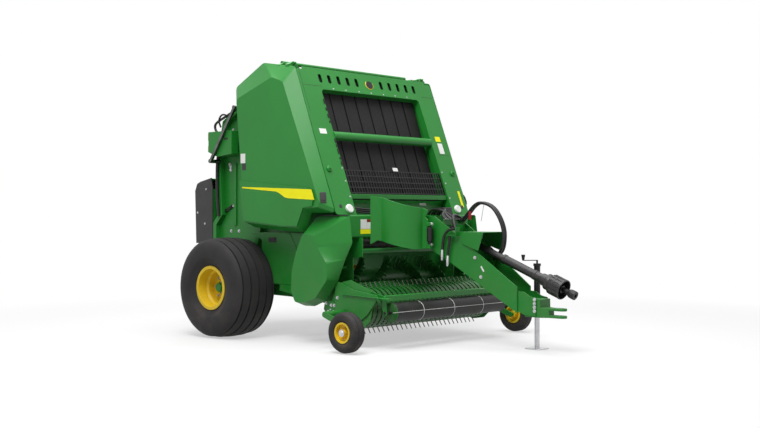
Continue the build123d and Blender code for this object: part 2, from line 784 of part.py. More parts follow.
# The plate that closes the back of the strippers, from the beam up to the rotor
apron_half = 770
apron_sheet = 4
apron_foot = (pickup_beam_ahead + pickup_beam / 2, pickup_beam_height + pickup_beam / 2)
apron_line = (apron_foot, (1430, 436), (1498, 560), (1503, 584))
apron_outline = (*apron_line,
                 *[(distance - apron_sheet, height) for distance, height in reversed(apron_line)])
gauge_height = gauge_radius + gauge_lift
gauge_inner_x = gauge_outer_x - gauge_width
gauge_arm_x = gauge_inner_x - 34
gauge_arm_ahead = 1560
gauge_arm_height = 330
arm_x = hinge_ear_x + 2
arm_sheet = 12
baffle_x = pickup_half - 25
baffle_pin_radius = 14
with BuildPart() as pickup_frame:
    extrude(side_face(plate_outline, pickup_half), amount=sheet)
    extrude(disc(reel_ahead, reel_height, 25 + slip, pickup_half), amount=sheet, mode=Mode.SUBTRACT)
    extrude(bar_face((pickup_pivot_ahead, pickup_pivot_height),
                     (pickup_beam_ahead - 32, pickup_beam_height + 10), 58, arm_x), amount=arm_sheet)
    extrude(disc(pickup_pivot_ahead, pickup_pivot_height, 30 + slip, arm_x),
            amount=arm_sheet, mode=Mode.SUBTRACT)
    extrude(disc(baffle_pivot_ahead, baffle_pivot_height, baffle_pin_radius, baffle_x - 3),
            amount=pickup_half - baffle_x + 3)
    extrude(bar_face((gauge_arm_ahead, gauge_arm_height), (gauge_ahead, gauge_height), 28, gauge_arm_x),
            amount=14)
    extrude(disc(gauge_arm_ahead, gauge_arm_height, 30, pickup_half + sheet),
            amount=gauge_arm_x - pickup_half - sheet)
    extrude(disc(gauge_ahead, gauge_height, 16, gauge_arm_x), amount=gauge_outer_x - 24 - gauge_arm_x)
    mirror(about=Plane.YZ)
    add(block(-pickup_half, pickup_half, pickup_beam_ahead - pickup_beam / 2,
              pickup_beam_ahead + pickup_beam / 2, pickup_beam_height - pickup_beam / 2,
              pickup_beam_height + pickup_beam / 2))
    extrude(side_face(apron_outline, -apron_half), amount=2 * apron_half)
save(pickup_frame, "pickup_frame")

deflector_outline = ((1455, 640), (1700, 560), (2000, 520), (2010, 492), (1880, 330), (1700, 205),
                     (1520, 190), (1440, 300))
with BuildPart() as pickup_deflectors:
    extrude(side_face(deflector_outline, pickup_half + 16), amount=sheet)
    extrude(disc(gauge_arm_ahead, gauge_arm_height, 30 + slip, pickup_half + 16), amount=sheet,
            mode=Mode.SUBTRACT)
    extrude(side_face(((1520, 230), (1520, 280), (1600, 280), (1600, 230)), pickup_half + sheet), amount=6)
    extrude(side_face(((1500, 520), (1500, 560), (1600, 540), (1600, 500)), pickup_half + sheet), amount=6)
    mirror(about=Plane.YZ)
save(pickup_deflectors, "pickup_deflectors")

reel_plane = Plane(origin=(0, ahead(reel_ahead), reel_height), x_dir=(0, 1, 0), z_dir=(1, 0, 0))
beam_face_y = ahead(pickup_beam_ahead + pickup_beam / 2) - ahead(reel_ahead)
stripper_starts = [
    (index - tine_count / 2) * tine_pitch - stripper_width / 2 for index in range(tine_count + 1)
]
low_strip = ((0, -stripper_radius), (0, -stripper_radius + stripper_sheet),
             (beam_face_y, pickup_beam_height - reel_height + 8 + stripper_sheet),
             (beam_face_y, pickup_beam_height - reel_height - 8))
high_strip = ((0, stripper_radius - stripper_sheet), (0, stripper_radius),
              (190, stripper_radius + 38), (192, stripper_radius + 32))
with BuildPart() as strippers:
    for start_x in stripper_starts:
        with BuildSketch(reel_plane.offset(start_x)):
            Circle(stripper_radius)
            Circle(stripper_radius - stripper_sheet, mode=Mode.SUBTRACT)
            Rectangle(3 * stripper_radius, 3 * stripper_radius,
                      align=(Align.MIN, Align.CENTER), mode=Mode.SUBTRACT)
            for strip in (low_strip, high_strip):
                with BuildLine():
                    Polyline(*strip, close=True)
                make_face()
        extrude(amount=stripper_width)
save(strippers, "strippers")

tine_outline = ((-tine_size / 2, tine_bar_radius), (tine_size / 2, tine_bar_radius),
                (tine_size / 2 + 4, 190), (tine_reach * 0.16, tine_reach - 6),
                (tine_reach * 0.13, tine_reach - 6), (-tine_size / 2 + 3, 192))
reel_half = pickup_half + 15
spider_places = (-pickup_half + 24, -12, pickup_half - 48)
with BuildPart() as tine_reel:
    with BuildSketch(reel_plane.offset(-reel_half)):
        Circle(25)
    extrude(amount=2 * reel_half)
    with BuildSketch(reel_plane.offset(spider_places[0])):
        Circle(reel_tube_radius)
    extrude(amount=spider_places[2] + 24 - spider_places[0])
    for start_x in spider_places:
        with BuildSketch(reel_plane.offset(start_x)):
            with PolarLocations(0, 4):
                Rectangle(2 * tine_bar_radius, 46, align=(Align.MIN, Align.CENTER), mode=Mode.ADD)
            Circle(tine_bar_radius + 22, mode=Mode.INTERSECT)
        extrude(amount=12)
    with BuildSketch(reel_plane.offset(spider_places[0])):
        with PolarLocations(tine_bar_radius, 4, start_angle=90):
            Rectangle(tine_bar, tine_bar)
    extrude(amount=spider_places[2] + 12 - spider_places[0])
    for index in range(tine_count):
        tine_x = (index - (tine_count - 1) / 2) * tine_pitch - tine_size / 2
        with BuildSketch(reel_plane.offset(tine_x)):
            with PolarLocations(0, 4):
                Polygon(*tine_outline, align=None)
        extrude(amount=tine_size)
save(tine_reel, "tine_reel")

# Baffle: arms, bar and roller ahead of the tines
baffle_bar_low = baffle_roller_height + baffle_roller_radius + baffle_bar_lift
baffle_bend = (baffle_bar_ahead, baffle_bar_low + baffle_bar_height / 2)
with BuildPart() as baffle_frame:
    extrude(bar_face((baffle_pivot_ahead, baffle_pivot_height), baffle_bend, 24, baffle_x), amount=sheet)
    extrude(bar_face(baffle_bend, (baffle_roller_ahead, baffle_roller_height), 24, baffle_x), amount=sheet)
    extrude(disc(baffle_pivot_ahead, baffle_pivot_height, baffle_pin_radius + slip, baffle_x),
            amount=sheet, mode=Mode.SUBTRACT)
    extrude(disc(baffle_roller_ahead, baffle_roller_height, 15 + slip, baffle_x),
            amount=sheet, mode=Mode.SUBTRACT)
    mirror(about=Plane.YZ)
    add(block(-baffle_x, baffle_x, baffle_bar_ahead - baffle_bar_width / 2,
              baffle_bar_ahead + baffle_bar_width / 2, baffle_bar_low, baffle_bar_low + baffle_bar_height))
save(baffle_frame, "baffle_frame")

with BuildPart() as baffle_roller:
    extrude(disc(baffle_roller_ahead, baffle_roller_height, baffle_roller_radius, -845), amount=1690)
    extrude(disc(baffle_roller_ahead, baffle_roller_height, 15, -baffle_x - 14), amount=2 * (baffle_x + 14))
save(baffle_roller, "baffle_roller")

# Gauge wheels at the ends of the pickup's arms
gauge_profile_side = ((gauge_outer_x - 20, gauge_bore_radius),
                      (gauge_outer_x - 19, gauge_bore_radius + 14),
                      (gauge_outer_x, gauge_bore_radius + 32),
                      (gauge_outer_x - 4, gauge_radius - 26), (gauge_outer_x - 38, gauge_radius - 2))
gauge_middle_x = gauge_outer_x - gauge_width / 2
gauge_profile = [*gauge_profile_side, (gauge_middle_x, gauge_radius),
                 *[(2 * gauge_middle_x - x, radius) for x, radius in reversed(gauge_profile_side)]]
gauge_bed = gauge_bore_radius - slip
gauge_rim_profile = [
    (gauge_outer_x - 18.6, gauge_bed), (gauge_outer_x - 18.4, gauge_bed + 10),
    (gauge_outer_x - 10, gauge_bed + 10), (gauge_outer_x - 10, gauge_bed - 8),
    (gauge_outer_x - 50, gauge_bed - 14), (gauge_middle_x + 6, 40),
    (gauge_outer_x - 10, 30), (gauge_outer_x - 10, 0), (gauge_outer_x - 18, 0),
    (gauge_outer_x - 18, 16 + slip), (gauge_inner_x + 10, 16 + slip), (gauge_inner_x + 10, 36),
    (gauge_middle_x - 6, 40), (gauge_middle_x - 20, gauge_bed - 16),
    (gauge_inner_x + 10, gauge_bed - 8), (gauge_inner_x + 10, gauge_bed + 10),
    (gauge_inner_x + 18.4, gauge_bed + 10), (gauge_inner_x + 18.6, gauge_bed),
]
for side, word in ((1, "right"), (-1, "left")):
    for name, profile in (("gauge_tyre", gauge_profile), ("gauge_rim", gauge_rim_profile)):
        ring = wheel_ring(profile, gauge_height, gauge_ahead)
        with BuildPart() as wheel_piece:
            add(ring)
            if side < 0:
                mirror(about=Plane.YZ, mode=Mode.REPLACE)
        save(wheel_piece, f"{name}_{word}")

# Tongue: two plates that draw together, a floor between them, and a parallel nose
plate_run = ((0, 1060), (0, 1275), (450, 1262), (700, 1096), (1390, 600), (1390, 358), (660, 800),
             (380, 950))
tongue_rear_ahead = beam_front + 0.6
tongue_long = tongue_front_ahead - tongue_rear_ahead
tongue_drift = tongue_rear_x - tongue_front_x
floor_tilt = degrees(atan2(800 - 352, 1400 - 660))
nose_outline = ((tongue_nose_start, 372), (tongue_nose_start, 560), (3060, 556), (3120, 520),
                (tongue_front_ahead, 505), (tongue_front_ahead, 335), (3060, 345))
# Bulkhead over the driveline where the hoses leave, and the tab where they come back
bulkhead_ahead = 2152
bulkhead_low = 1178
bulkhead_high = 1232
bulkhead_half = 176
hose_xs = (85, 119)
hose_route = ((2170, 1215), (2243, 1277), (2331, 1375), (2418, 1404), (2572, 1354), (2689, 1160),
              (2687, 992), (2646, 902), (2569, 842))
stub_length = 26
tab_far_x = 142
# Pads between the tongue and the shield over the driveline's joint
shaft_shield_x = 170
shield_pad_ahead = 2410
shield_pad_height = 998
with BuildPart() as tongue:
    for side in (-1, 1):
        plate_plane = Plane(
            origin=(side * tongue_rear_x, ahead(tongue_rear_ahead), 0),
            x_dir=(-side * tongue_drift, -tongue_long, 0),
            z_dir=(-tongue_long, side * tongue_drift, 0),
        )
        with BuildSketch(plate_plane):
            with BuildLine():
                Polyline(*plate_run, close=True)
            make_face()
        extrude(amount=tongue_plate / 2, both=True)
        extrude(side_face(nose_outline, side * (tongue_front_x - tongue_plate / 2)),
                amount=side * tongue_plate)
    floor_plane = Plane(
        origin=(0, ahead(tongue_rear_ahead + 660), 812),
        x_dir=(1, 0, 0),
        z_dir=(0, -sin(radians(floor_tilt)), cos(radians(floor_tilt))),
    )
    with BuildSketch(floor_plane):
        with BuildLine():
            Polyline((-168, 0), (168, 0), (104, -860), (-104, -860), close=True)
        make_face()
    extrude(amount=8)
    add(block(-bulkhead_half, bulkhead_half, bulkhead_ahead - 8, bulkhead_ahead,
              bulkhead_low, bulkhead_high))
    for side in (-1, 1):
        add(block(side * 158, side * (shaft_shield_x - slip), shield_pad_ahead - 12, shield_pad_ahead + 12,
                  shield_pad_height - 10, shield_pad_height + 10))
    tab_top = hose_route[-1][1]
    tab_ahead = hose_route[-1][0] - stub_length
    add(block(hose_xs[0] - coupler_radius, tab_far_x, tab_ahead - 8, tab_ahead + 4, tab_top - 70, tab_top))
    for hose_x in hose_xs:
        add(stub(hose_route[0], hose_route[1], hose_x, coupler_radius, -stub_length))
        add(stub(hose_route[-1], hose_route[-2], hose_x, coupler_radius, -stub_length))
save(tongue, "tongue")

# Shield over the joint of the driveline, which straddles the tongue and carries the short hoses
shaft_shield_sheet = 6
shaft_shield_top = 1112
shaft_shield_rear = 2345
shaft_shield_front = 2644
shaft_side_outline = ((shaft_shield_rear, shaft_shield_top), (shaft_shield_front, shaft_shield_top),
                      (2580, 932), (2385, 995))
drop_x = -215
drop_route = ((shaft_shield_rear, 1140), (2270, 1140), (2205, 1096), (2176, 1016), (2172, 936))
short_drop_route = ((2262, 1074), (2262, 1010), (2244, 940), (2240, 880))
with BuildPart() as shaft_shield:
    for side in (-1, 1):
        extrude(side_face(shaft_side_outline, side * shaft_shield_x), amount=side * shaft_shield_sheet)
    add(block(-shaft_shield_x, shaft_shield_x, shaft_shield_rear, shaft_shield_front,
              shaft_shield_top - shaft_shield_sheet, shaft_shield_top))
    add(block(drop_x - 18, -shaft_shield_x, shaft_shield_rear, shaft_shield_rear + 8,
              short_drop_route[0][1], drop_route[0][1] + 20))
    add(block(drop_x - 18, drop_x + 18, short_drop_route[0][0] - 20, shaft_shield_rear,
              short_drop_route[0][1], short_drop_route[0][1] + 8))
save(shaft_shield, "shaft_shield")


def cord(route, x, size):
    """Hose along points of distance ahead and height, with bends as wide as the runs allow."""
    radii = []
    for before, corner, after in zip(route, route[1:], route[2:]):
        run_in = hypot(corner[0] - before[0], corner[1] - before[1])
        run_out = hypot(after[0] - corner[0], after[1] - corner[1])
        turn = abs(atan2(after[1] - corner[1], after[0] - corner[0])
                   - atan2(corner[1] - before[1], corner[0] - before[0]))
        half_turn = min(turn, 2 * pi - turn) / 2
        radii.append(0.45 * min(run_in, run_out) / tan(half_turn))
    print("bend radii", [round(radius) for radius in radii], "for", size)
    with BuildPart() as hose:
        with BuildLine() as path:
            FilletPolyline(*[(x, ahead(distance), height) for distance, height in route], radius=radii)
        with BuildSketch(Plane(origin=path.line @ 0, z_dir=path.line % 0)):
            Circle(size / 2)
        sweep()
    return hose.part


for hose_x, name in zip(hose_xs, ("hose_loop_near", "hose_loop_far")):
    loop = cord(hose_route, hose_x, hose_size)
    with BuildPart() as hose_loop:
        add(loop)
    save(hose_loop, name)
for route, name in ((drop_route, "hose_drop_near"), (short_drop_route, "hose_drop_far")):
    drop = cord(route, drop_x, drop_size)
    with BuildPart() as hose_drop:
        add(drop)
    save(hose_drop, name)

with BuildPart() as hose_couplers:
    for route in (drop_route, short_drop_route):
        add(stub(route[-1], route[-2], drop_x, coupler_radius, -coupler_length))
save(hose_couplers, "hose_couplers")

# Gusset plates that sweep from the beam round to the tongue
gusset_left = ((1580, 960), (1580, 1466), (1680, 1446), (2022, 1322), (1992, 1254), (2022, 1225),
               (2022, 948), (1930, 935), (1640, 1025))
gusset_right = ((1580, 960), (1580, 1266), (1680, 1250), (2022, 1140), (2022, 948), (1930, 935),
                (1640, 1025))
gusset_end = 2022


def gusset(outline):
    """Plate that sweeps round from the beam to the tongue, cut to a side outline."""
    with BuildPart() as plate:
        with BuildSketch(Plane.XY.offset(900)):
            with BuildLine():
                Line((640, ahead(beam_front)), (540, ahead(1660)))
                RadiusArc((540, ahead(1660)), (262, ahead(1960)), 330)
                Line((262, ahead(1960)), (257, ahead(gusset_end)))
                Line((257, ahead(gusset_end)), (247, ahead(gusset_end)))
                Line((247, ahead(gusset_end)), (252, ahead(1958)))
                RadiusArc((252, ahead(1958)), (532, ahead(1654)), -340)
                Line((532, ahead(1654)), (624, ahead(beam_front)))
                Line((624, ahead(beam_front)), (640, ahead(beam_front)))
            make_face()
        extrude(amount=600)
        extrude(side_face(outline, 0), amount=700, mode=Mode.INTERSECT)
    return plate.part


right_gusset = gusset(gusset_right)
left_gusset = gusset(gusset_left)
with BuildPart() as gussets:
    add(left_gusset)
    mirror(about=Plane.YZ, mode=Mode.REPLACE)
    add(right_gusset)
save(gussets, "gussets")

fork_gap = 22

# Gearbox between the gussets, with its input shaft
drive_along = Plane(
    origin=(0, ahead(drive_pivot_ahead), drive_pivot_height),
    x_dir=(1, 0, 0),
    z_dir=(0, -cos(radians(drive_slope)), -sin(radians(drive_slope))),
)
with BuildPart() as gearbox:
    add(block(-130, 130, beam_front, 1900, 1050, 1260))
    fillet(gearbox.edges().filter_by(Axis.Y), 30)
    with BuildSketch(Plane.XZ.offset(-ahead(1900))):
        with Locations((0, drive_pivot_height)):
            Circle(70)
    extrude(amount=40)
    with BuildSketch(Plane.XZ.offset(-ahead(1940))):
        with Locations((0, drive_pivot_height)):
            Circle(36)
    extrude(amount=60)
    for side in (-1, 1):
        extrude(bar_face((1990, drive_pivot_height), (drive_pivot_ahead, drive_pivot_height), 22,
                         side * (fork_gap + slip)), amount=side * 12)
save(gearbox, "gearbox")

# Hitch: clevis ears between the nose plates
hitch_inner = tongue_front_x - tongue_plate / 2
hitch_pin_ahead = hitch_reach - ear_half
with BuildPart() as hitch:
    with BuildSketch(Plane.XY.offset(ear_bottom)):
        with BuildLine():
            Polyline((-hitch_inner, ahead(hitch_rear_ahead)), (-hitch_inner, ahead(hitch_block_ahead)),
                     (-ear_half, ahead(ear_start_ahead)), (-ear_half, ahead(hitch_pin_ahead)))
            ThreePointArc((-ear_half, ahead(hitch_pin_ahead)), (0, ahead(hitch_reach)),
                          (ear_half, ahead(hitch_pin_ahead)))
            Polyline((ear_half, ahead(hitch_pin_ahead)), (ear_half, ahead(ear_start_ahead)),
                     (hitch_inner, ahead(hitch_block_ahead)), (hitch_inner, ahead(hitch_rear_ahead)),
                     (-hitch_inner, ahead(hitch_rear_ahead)))
        make_face()
    extrude(amount=2 * ear_thickness + ear_gap)
    add(block(-hitch_inner, hitch_inner, hitch_rear_ahead, hitch_block_ahead, ear_bottom,
              ear_bottom + 170))
    add(block(-face_half, face_half, ear_start_ahead, hitch_reach + ear_gap,
              ear_bottom + ear_thickness, ear_bottom + ear_thickness + ear_gap), mode=Mode.SUBTRACT)
    with BuildSketch(Plane.XY.offset(ear_bottom)):
        with Locations((0, ahead(hitch_pin_ahead))):
            Circle(hitch_pin_radius)
    extrude(amount=2 * ear_thickness + ear_gap, mode=Mode.SUBTRACT)
save(hitch, "hitch")

# Parking jack at the right of the tongue
jack_plane = Plane(origin=(jack_x, ahead(jack_ahead), 0))
with BuildPart() as jack_sleeve:
    with BuildSketch(jack_plane.offset(jack_sleeve_bottom)):
        Circle(jack_sleeve_radius)
        Circle(jack_leg_radius + slip, mode=Mode.SUBTRACT)
    extrude(amount=jack_sleeve_top - jack_sleeve_bottom)
    with BuildSketch(jack_plane.offset(jack_sleeve_top)):
        Circle(jack_sleeve_radius + 6)
    extrude(amount=24)
    with BuildSketch(jack_plane.offset(jack_sleeve_top + 24)):
        Circle(9)
    extrude(amount=26)
    with BuildSketch(jack_plane.offset(jack_sleeve_top + 50)):
        SlotCenterPoint((-50, 45), (-100, 90), 18)
    extrude(amount=8)
    add(block(tongue_front_x + tongue_plate / 2, jack_x - jack_leg_radius - 3, jack_ahead - 20,
              jack_ahead + 20, 390, 540))
    with BuildSketch(jack_plane.offset(jack_sleeve_top + 58)):
        with Locations((-100, 90)):
            Circle(11)
    with BuildSketch(jack_plane.offset(jack_sleeve_top + 108)):
        with Locations((-100, 90)):
            Circle(20)
    loft()
save(jack_sleeve, "jack_sleeve")

with BuildPart() as jack_leg:
    with BuildSketch(jack_plane.offset(jack_foot_plate)):
        Circle(jack_leg_radius)
    extrude(amount=jack_sleeve_bottom + 120)
    with BuildSketch(jack_plane):
        RectangleRounded(jack_foot_size, jack_foot_size, 30)
    extrude(amount=jack_foot_plate)
save(jack_leg, "jack_leg")

# Driveline: guard tube on the gearbox, sleeve with bell and yoke that slides on it
with BuildPart() as drive_tube:
    extrude(disc(drive_pivot_ahead, drive_pivot_height, 24, -fork_gap), amount=2 * fork_gap)
    with BuildSketch(drive_along.offset(10)):
        Circle(20)
    extrude(amount=60)
    with BuildSketch(drive_along.offset(60)):
        Circle(62)
    with BuildSketch(drive_along.offset(180)):
        Circle(guard_radius)
    loft()
    with BuildSketch(drive_along.offset(180)):
        Circle(guard_radius)
    extrude(amount=guard_end - 180)
save(drive_tube, "drive_tube")

sleeve_bore = guard_radius + slip
yoke_root = bell_start - 14
bell_profile = ((sleeve_bore, sleeve_start), (sleeve_radius, sleeve_start), (sleeve_radius, sleeve_end),
                (66, sleeve_end + 15), (74, sleeve_end + 40),
                (bell_radius, bell_start), (bell_radius, bell_start + 80), (bell_radius - 6, bell_front),
                (bell_radius - 6 - bell_wall, bell_front), (bell_radius - bell_wall, bell_start + 80),
                (bell_radius - bell_wall, bell_start + 8), (50, yoke_root), (sleeve_bore, yoke_root))
with BuildPart() as drive_sleeve:
    with BuildSketch(Plane(origin=drive_along.origin, x_dir=(1, 0, 0),
                           z_dir=drive_along.z_dir.cross(Vector(1, 0, 0)) * -1)):
        with BuildLine():
            Polyline(*bell_profile, close=True)
        make_face()
    revolve(axis=Axis(drive_along.origin, drive_along.z_dir))
save(drive_sleeve, "drive_sleeve")

with BuildPart() as drive_yoke:
    with BuildSketch(drive_along.offset(yoke_root)):
        Circle(sleeve_bore - slip)
    extrude(amount=yoke_start - yoke_root)
    with BuildSketch(drive_along.offset(yoke_start)):
        Circle(yoke_radius)
        Circle(yoke_bore_radius, mode=Mode.SUBTRACT)
    extrude(amount=drive_length - yoke_start)
save(drive_yoke, "drive_yoke")

# Round work lights at the feet of the columns
with BuildPart() as work_lights:
    with BuildSketch(face):
        with Locations((-845, 58), (845, 58)):
            Circle(46)
    extrude(amount=26)
    fillet(work_lights.edges().filter_by(GeomType.CIRCLE).group_by(Axis.Y)[0], 10)
save(work_lights, "work_lights")
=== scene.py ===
import bpy
import bmesh
import json
import math
from mathutils import Matrix, Vector


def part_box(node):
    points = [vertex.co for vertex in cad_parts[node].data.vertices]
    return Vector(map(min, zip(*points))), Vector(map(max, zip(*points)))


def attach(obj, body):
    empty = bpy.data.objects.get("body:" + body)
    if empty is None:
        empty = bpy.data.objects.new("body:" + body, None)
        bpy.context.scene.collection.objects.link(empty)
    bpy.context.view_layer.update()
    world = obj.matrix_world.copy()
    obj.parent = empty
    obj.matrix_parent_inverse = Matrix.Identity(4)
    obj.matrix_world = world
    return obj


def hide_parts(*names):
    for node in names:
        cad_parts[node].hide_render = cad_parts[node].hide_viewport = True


# Round baler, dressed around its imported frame. Metres; minus Y is the way it is towed.
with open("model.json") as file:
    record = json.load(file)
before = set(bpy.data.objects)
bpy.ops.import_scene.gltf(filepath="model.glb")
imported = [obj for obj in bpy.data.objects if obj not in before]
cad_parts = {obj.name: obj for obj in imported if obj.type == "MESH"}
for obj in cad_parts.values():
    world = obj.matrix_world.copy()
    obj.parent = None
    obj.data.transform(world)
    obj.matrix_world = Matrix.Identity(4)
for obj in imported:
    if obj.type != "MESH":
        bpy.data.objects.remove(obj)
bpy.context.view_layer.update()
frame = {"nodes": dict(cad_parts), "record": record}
nodes = frame["nodes"]
slotOf = {part["node"]: part["material_slot"] for part in frame["record"]["subparts"]}
bodyOf = {node: body for body, members in frame["record"]["behaviour"]["bodies"].items()
          for node in members}
bothSides = (("right", 1), ("left", -1))
rightWay, towWay, zenith = Vector((1, 0, 0)), Vector((0, -1, 0)), Vector((0, 0, 1))


def nodeCentre(node):
    low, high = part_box(node)
    return (low + high) / 2


axleY = nodeCentre("axle").y


def at(x, ahead, height):
    # most places are given as x, distance ahead of the axle and height
    return Vector((x, axleY - ahead, height))


def linked(obj):
    bpy.context.scene.collection.objects.link(obj)
    return obj


print("camera")
camera = {"place": (-8.717, -7.796, 1.285), "turn": 47.48, "lens": 53.1}


def addCamera(v):
    data = bpy.data.cameras.new("camera")
    data.lens = v["lens"]
    view = linked(bpy.data.objects.new("camera", data))
    view.location = v["place"]
    view.rotation_euler = (math.radians(90), 0, math.radians(-v["turn"]))
    bpy.context.scene.camera = view


addCamera(camera)

print("materials")


def plug(tree, value, socket):
    if isinstance(value, bpy.types.NodeSocket):
        tree.links.new(value, socket)
    else:
        socket.default_value = value


def addNode(tree, kind, settings=None, **sockets):
    node = tree.nodes.new(kind)
    for key, value in (settings or {}).items():
        setattr(node, key, value)
    for key, value in sockets.items():
        plug(tree, value, node.inputs[key.replace("_", " ")])
    return node


def mathNode(tree, operation, first, second=0.0, third=0.0, clamp=False):
    node = addNode(tree, "ShaderNodeMath", {"operation": operation, "use_clamp": clamp})
    for socket, value in zip(node.inputs, (first, second, third)):
        plug(tree, value, socket)
    return node.outputs[0]


def times(tree, first, second):
    return mathNode(tree, "MULTIPLY", first, second)


def split(tree, place):
    return addNode(tree, "ShaderNodeSeparateXYZ", Vector=place).outputs[:3]


def ramped(tree, value, low, high):
    # 0 at the low value and 1 at the high one
    node = tree.nodes.new("ShaderNodeMapRange")
    for socket, given in zip(node.inputs, (value, low, high, 0.0, 1.0)):
        plug(tree, given, socket)
    return node.outputs[0]


def noise(tree, place, scale, detail):
    return addNode(tree, "ShaderNodeTexNoise", Vector=place, Scale=scale, Detail=detail).outputs[0]


def mixColours(tree, mask, first, second):
    node = addNode(tree, "ShaderNodeMix", {"data_type": "RGBA"})
    for index, value in ((0, mask), (6, first), (7, second)):
        plug(tree, value, node.inputs[index])
    return node.outputs[2]


def makeGroup(name, values, outputs, build):
    # every group reads a place and has values of its own; what it builds feeds its outputs
    group = bpy.data.node_groups.new(name, "ShaderNodeTree")
    group.interface.new_socket("Place", in_out="INPUT", socket_type="NodeSocketVector")
    for label, value in values.items():
        socket = group.interface.new_socket(label, in_out="INPUT", socket_type="NodeSocketFloat")
        socket.default_value = value
    for label in outputs:
        group.interface.new_socket(label, in_out="OUTPUT", socket_type="NodeSocketFloat")
    start, end = group.nodes.new("NodeGroupInput"), group.nodes.new("NodeGroupOutput")
    for made, socket in zip(build(group, *start.outputs[:len(values) + 1]), end.inputs):
        group.links.new(made, socket)
    return group


def sprayedSkin(tree, place, cloudScale, rippleScale):
    # cloudy tone of sprayed paint, and the fine ripple of its skin
    cloud = ramped(tree, noise(tree, place, cloudScale, 4.0), 0.3, 0.7)
    return cloud, noise(tree, place, rippleScale, 1.0)


def settledDust(tree, place, upTo, patchScale):
    # dust that settles low down and in broken patches
    low = ramped(tree, split(tree, place)[2], upTo, 0.0)
    patch = ramped(tree, noise(tree, place, patchScale, 6.0), 0.42, 0.68)
    fine = ramped(tree, noise(tree, place, 90.0, 2.0), 0.3, 0.6)
    return mathNode(tree, "MULTIPLY", low, times(tree, patch, fine), clamp=True),


def strayScratches(tree, place, scale):
    # thin scratches, from noise drawn out along one way
    drawn = addNode(tree, "ShaderNodeMapping", Vector=place, Rotation=(0.4, 0.9, 0.2),
                    Scale=(1.0, 14.0, 1.6)).outputs[0]
    return ramped(tree, noise(tree, drawn, scale, 5.0), 0.66, 0.72),


def wovenThreads(tree, place, acrossScale, alongScale):
    # crossed threads of a belt or net, as turns of each thread's wave per metre
    x, y, z = split(tree, place)
    across = mathNode(tree, "SINE", times(tree, x, acrossScale))
    upward = mathNode(tree, "ADD", z, times(tree, y, 0.6))
    along = mathNode(tree, "SINE", times(tree, upward, alongScale))
    return ramped(tree, times(tree, across, along), -1.0, 1.0),


sprayed = makeGroup("sprayed skin", {"Cloud Scale": 2.2, "Ripple Scale": 240.0},
                    ("Cloud", "Ripple"), sprayedSkin)
dusty = makeGroup("settled dust", {"Up To": 1.0, "Patch Scale": 5.0}, ("Dust",), settledDust)
scratched = makeGroup("stray scratches", {"Scratch Scale": 9.0}, ("Scratch",), strayScratches)
woven = makeGroup("woven threads", {"Across": 900.0, "Along": 900.0}, ("Thread",), wovenThreads)


def startMaterial(name, v):
    material = bpy.data.materials.new(name)
    material.use_nodes = True
    tree = material.node_tree
    shader = tree.nodes["Principled BSDF"]
    for key, label in (("gloss", "Specular IOR Level"), ("coat", "Coat Weight"),
                       ("metal", "Metallic")):
        if key in v:
            shader.inputs[label].default_value = v[key]
    return material, tree, shader, addNode(tree, "ShaderNodeTexCoord").outputs["Object"]


def useGroup(tree, group, place, **values):
    return addNode(tree, "ShaderNodeGroup", {"node_tree": group}, Place=place, **values).outputs


def toned(tree, mask, v):
    return mixColours(tree, mask, (*v["dark"], 1), (*v["light"], 1))


def soiled(tree, dust, share, clean):
    dustColour = (0.3, 0.25, 0.17, 1)
    return mixColours(tree, times(tree, dust, share), clean, dustColour)


def dressShader(tree, shader, colour, mask, spread, rough, height, bump):
    # colour, roughness that rises by the spread where the mask is 1, and bump strength and depth
    strength, depth = bump
    tree.links.new(colour, shader.inputs["Base Color"])
    if spread:
        rough = mathNode(tree, "MULTIPLY_ADD", mask, spread, rough)
    plug(tree, rough, shader.inputs["Roughness"])
    relief = addNode(tree, "ShaderNodeBump", Height=height, Strength=strength, Distance=depth)
    tree.links.new(relief.outputs[0], shader.inputs["Normal"])


def paintMaterial(name, v):
    v = {"scratch": 0.12, "dust": 0.22, "gloss": 0.4, "coat": 0.08, **v}
    material, tree, shader, place = startMaterial(name, v)
    cloud, ripple = useGroup(tree, sprayed, place)[:2]
    dust = useGroup(tree, dusty, place)[0]
    scratch = useGroup(tree, scratched, place)[0]
    rubbed = mixColours(tree, times(tree, scratch, v["scratch"]), toned(tree, cloud, v),
                        (*v["under"], 1))
    rough = mathNode(tree, "MULTIPLY_ADD", cloud, 0.06, v["rough"])
    shader.inputs["Coat Roughness"].default_value = 0.25
    dressShader(tree, shader, soiled(tree, dust, v["dust"], rubbed), dust, 0.3, rough,
                ripple, (0.12, 0.0006))
    return material


def rubberMaterial(name, v):
    v = {"gloss": 0.25, **v}
    material, tree, shader, place = startMaterial(name, v)
    cloud, ripple = useGroup(tree, sprayed, place, Cloud_Scale=v["cloud"],
                             Ripple_Scale=v["grain"])[:2]
    dust = useGroup(tree, dusty, place, Up_To=v["dustUpTo"], Patch_Scale=9.0)[0]
    dressShader(tree, shader, soiled(tree, dust, v["dust"], toned(tree, cloud, v)), ripple, 0.14,
                v["rough"], ripple, (0.35, 0.0012))
    return material


def beltMaterial(name, v):
    material, tree, shader, place = startMaterial(name, {"gloss": 0.2})
    thread = useGroup(tree, woven, place, Across=v["across"], Along=v["along"])[0]
    cloud = useGroup(tree, sprayed, place, Cloud_Scale=5.0)[0]
    streak = addNode(tree, "ShaderNodeTexNoise", {"noise_dimensions": "1D"},
                     W=split(tree, place)[0], Scale=26.0, Detail=3.0).outputs[0]
    worn = times(tree, cloud, ramped(tree, streak, 0.35, 0.7))
    dressShader(tree, shader, toned(tree, worn, v), thread, 0.12, v["rough"],
                thread, (v["bump"], 0.001))
    return material


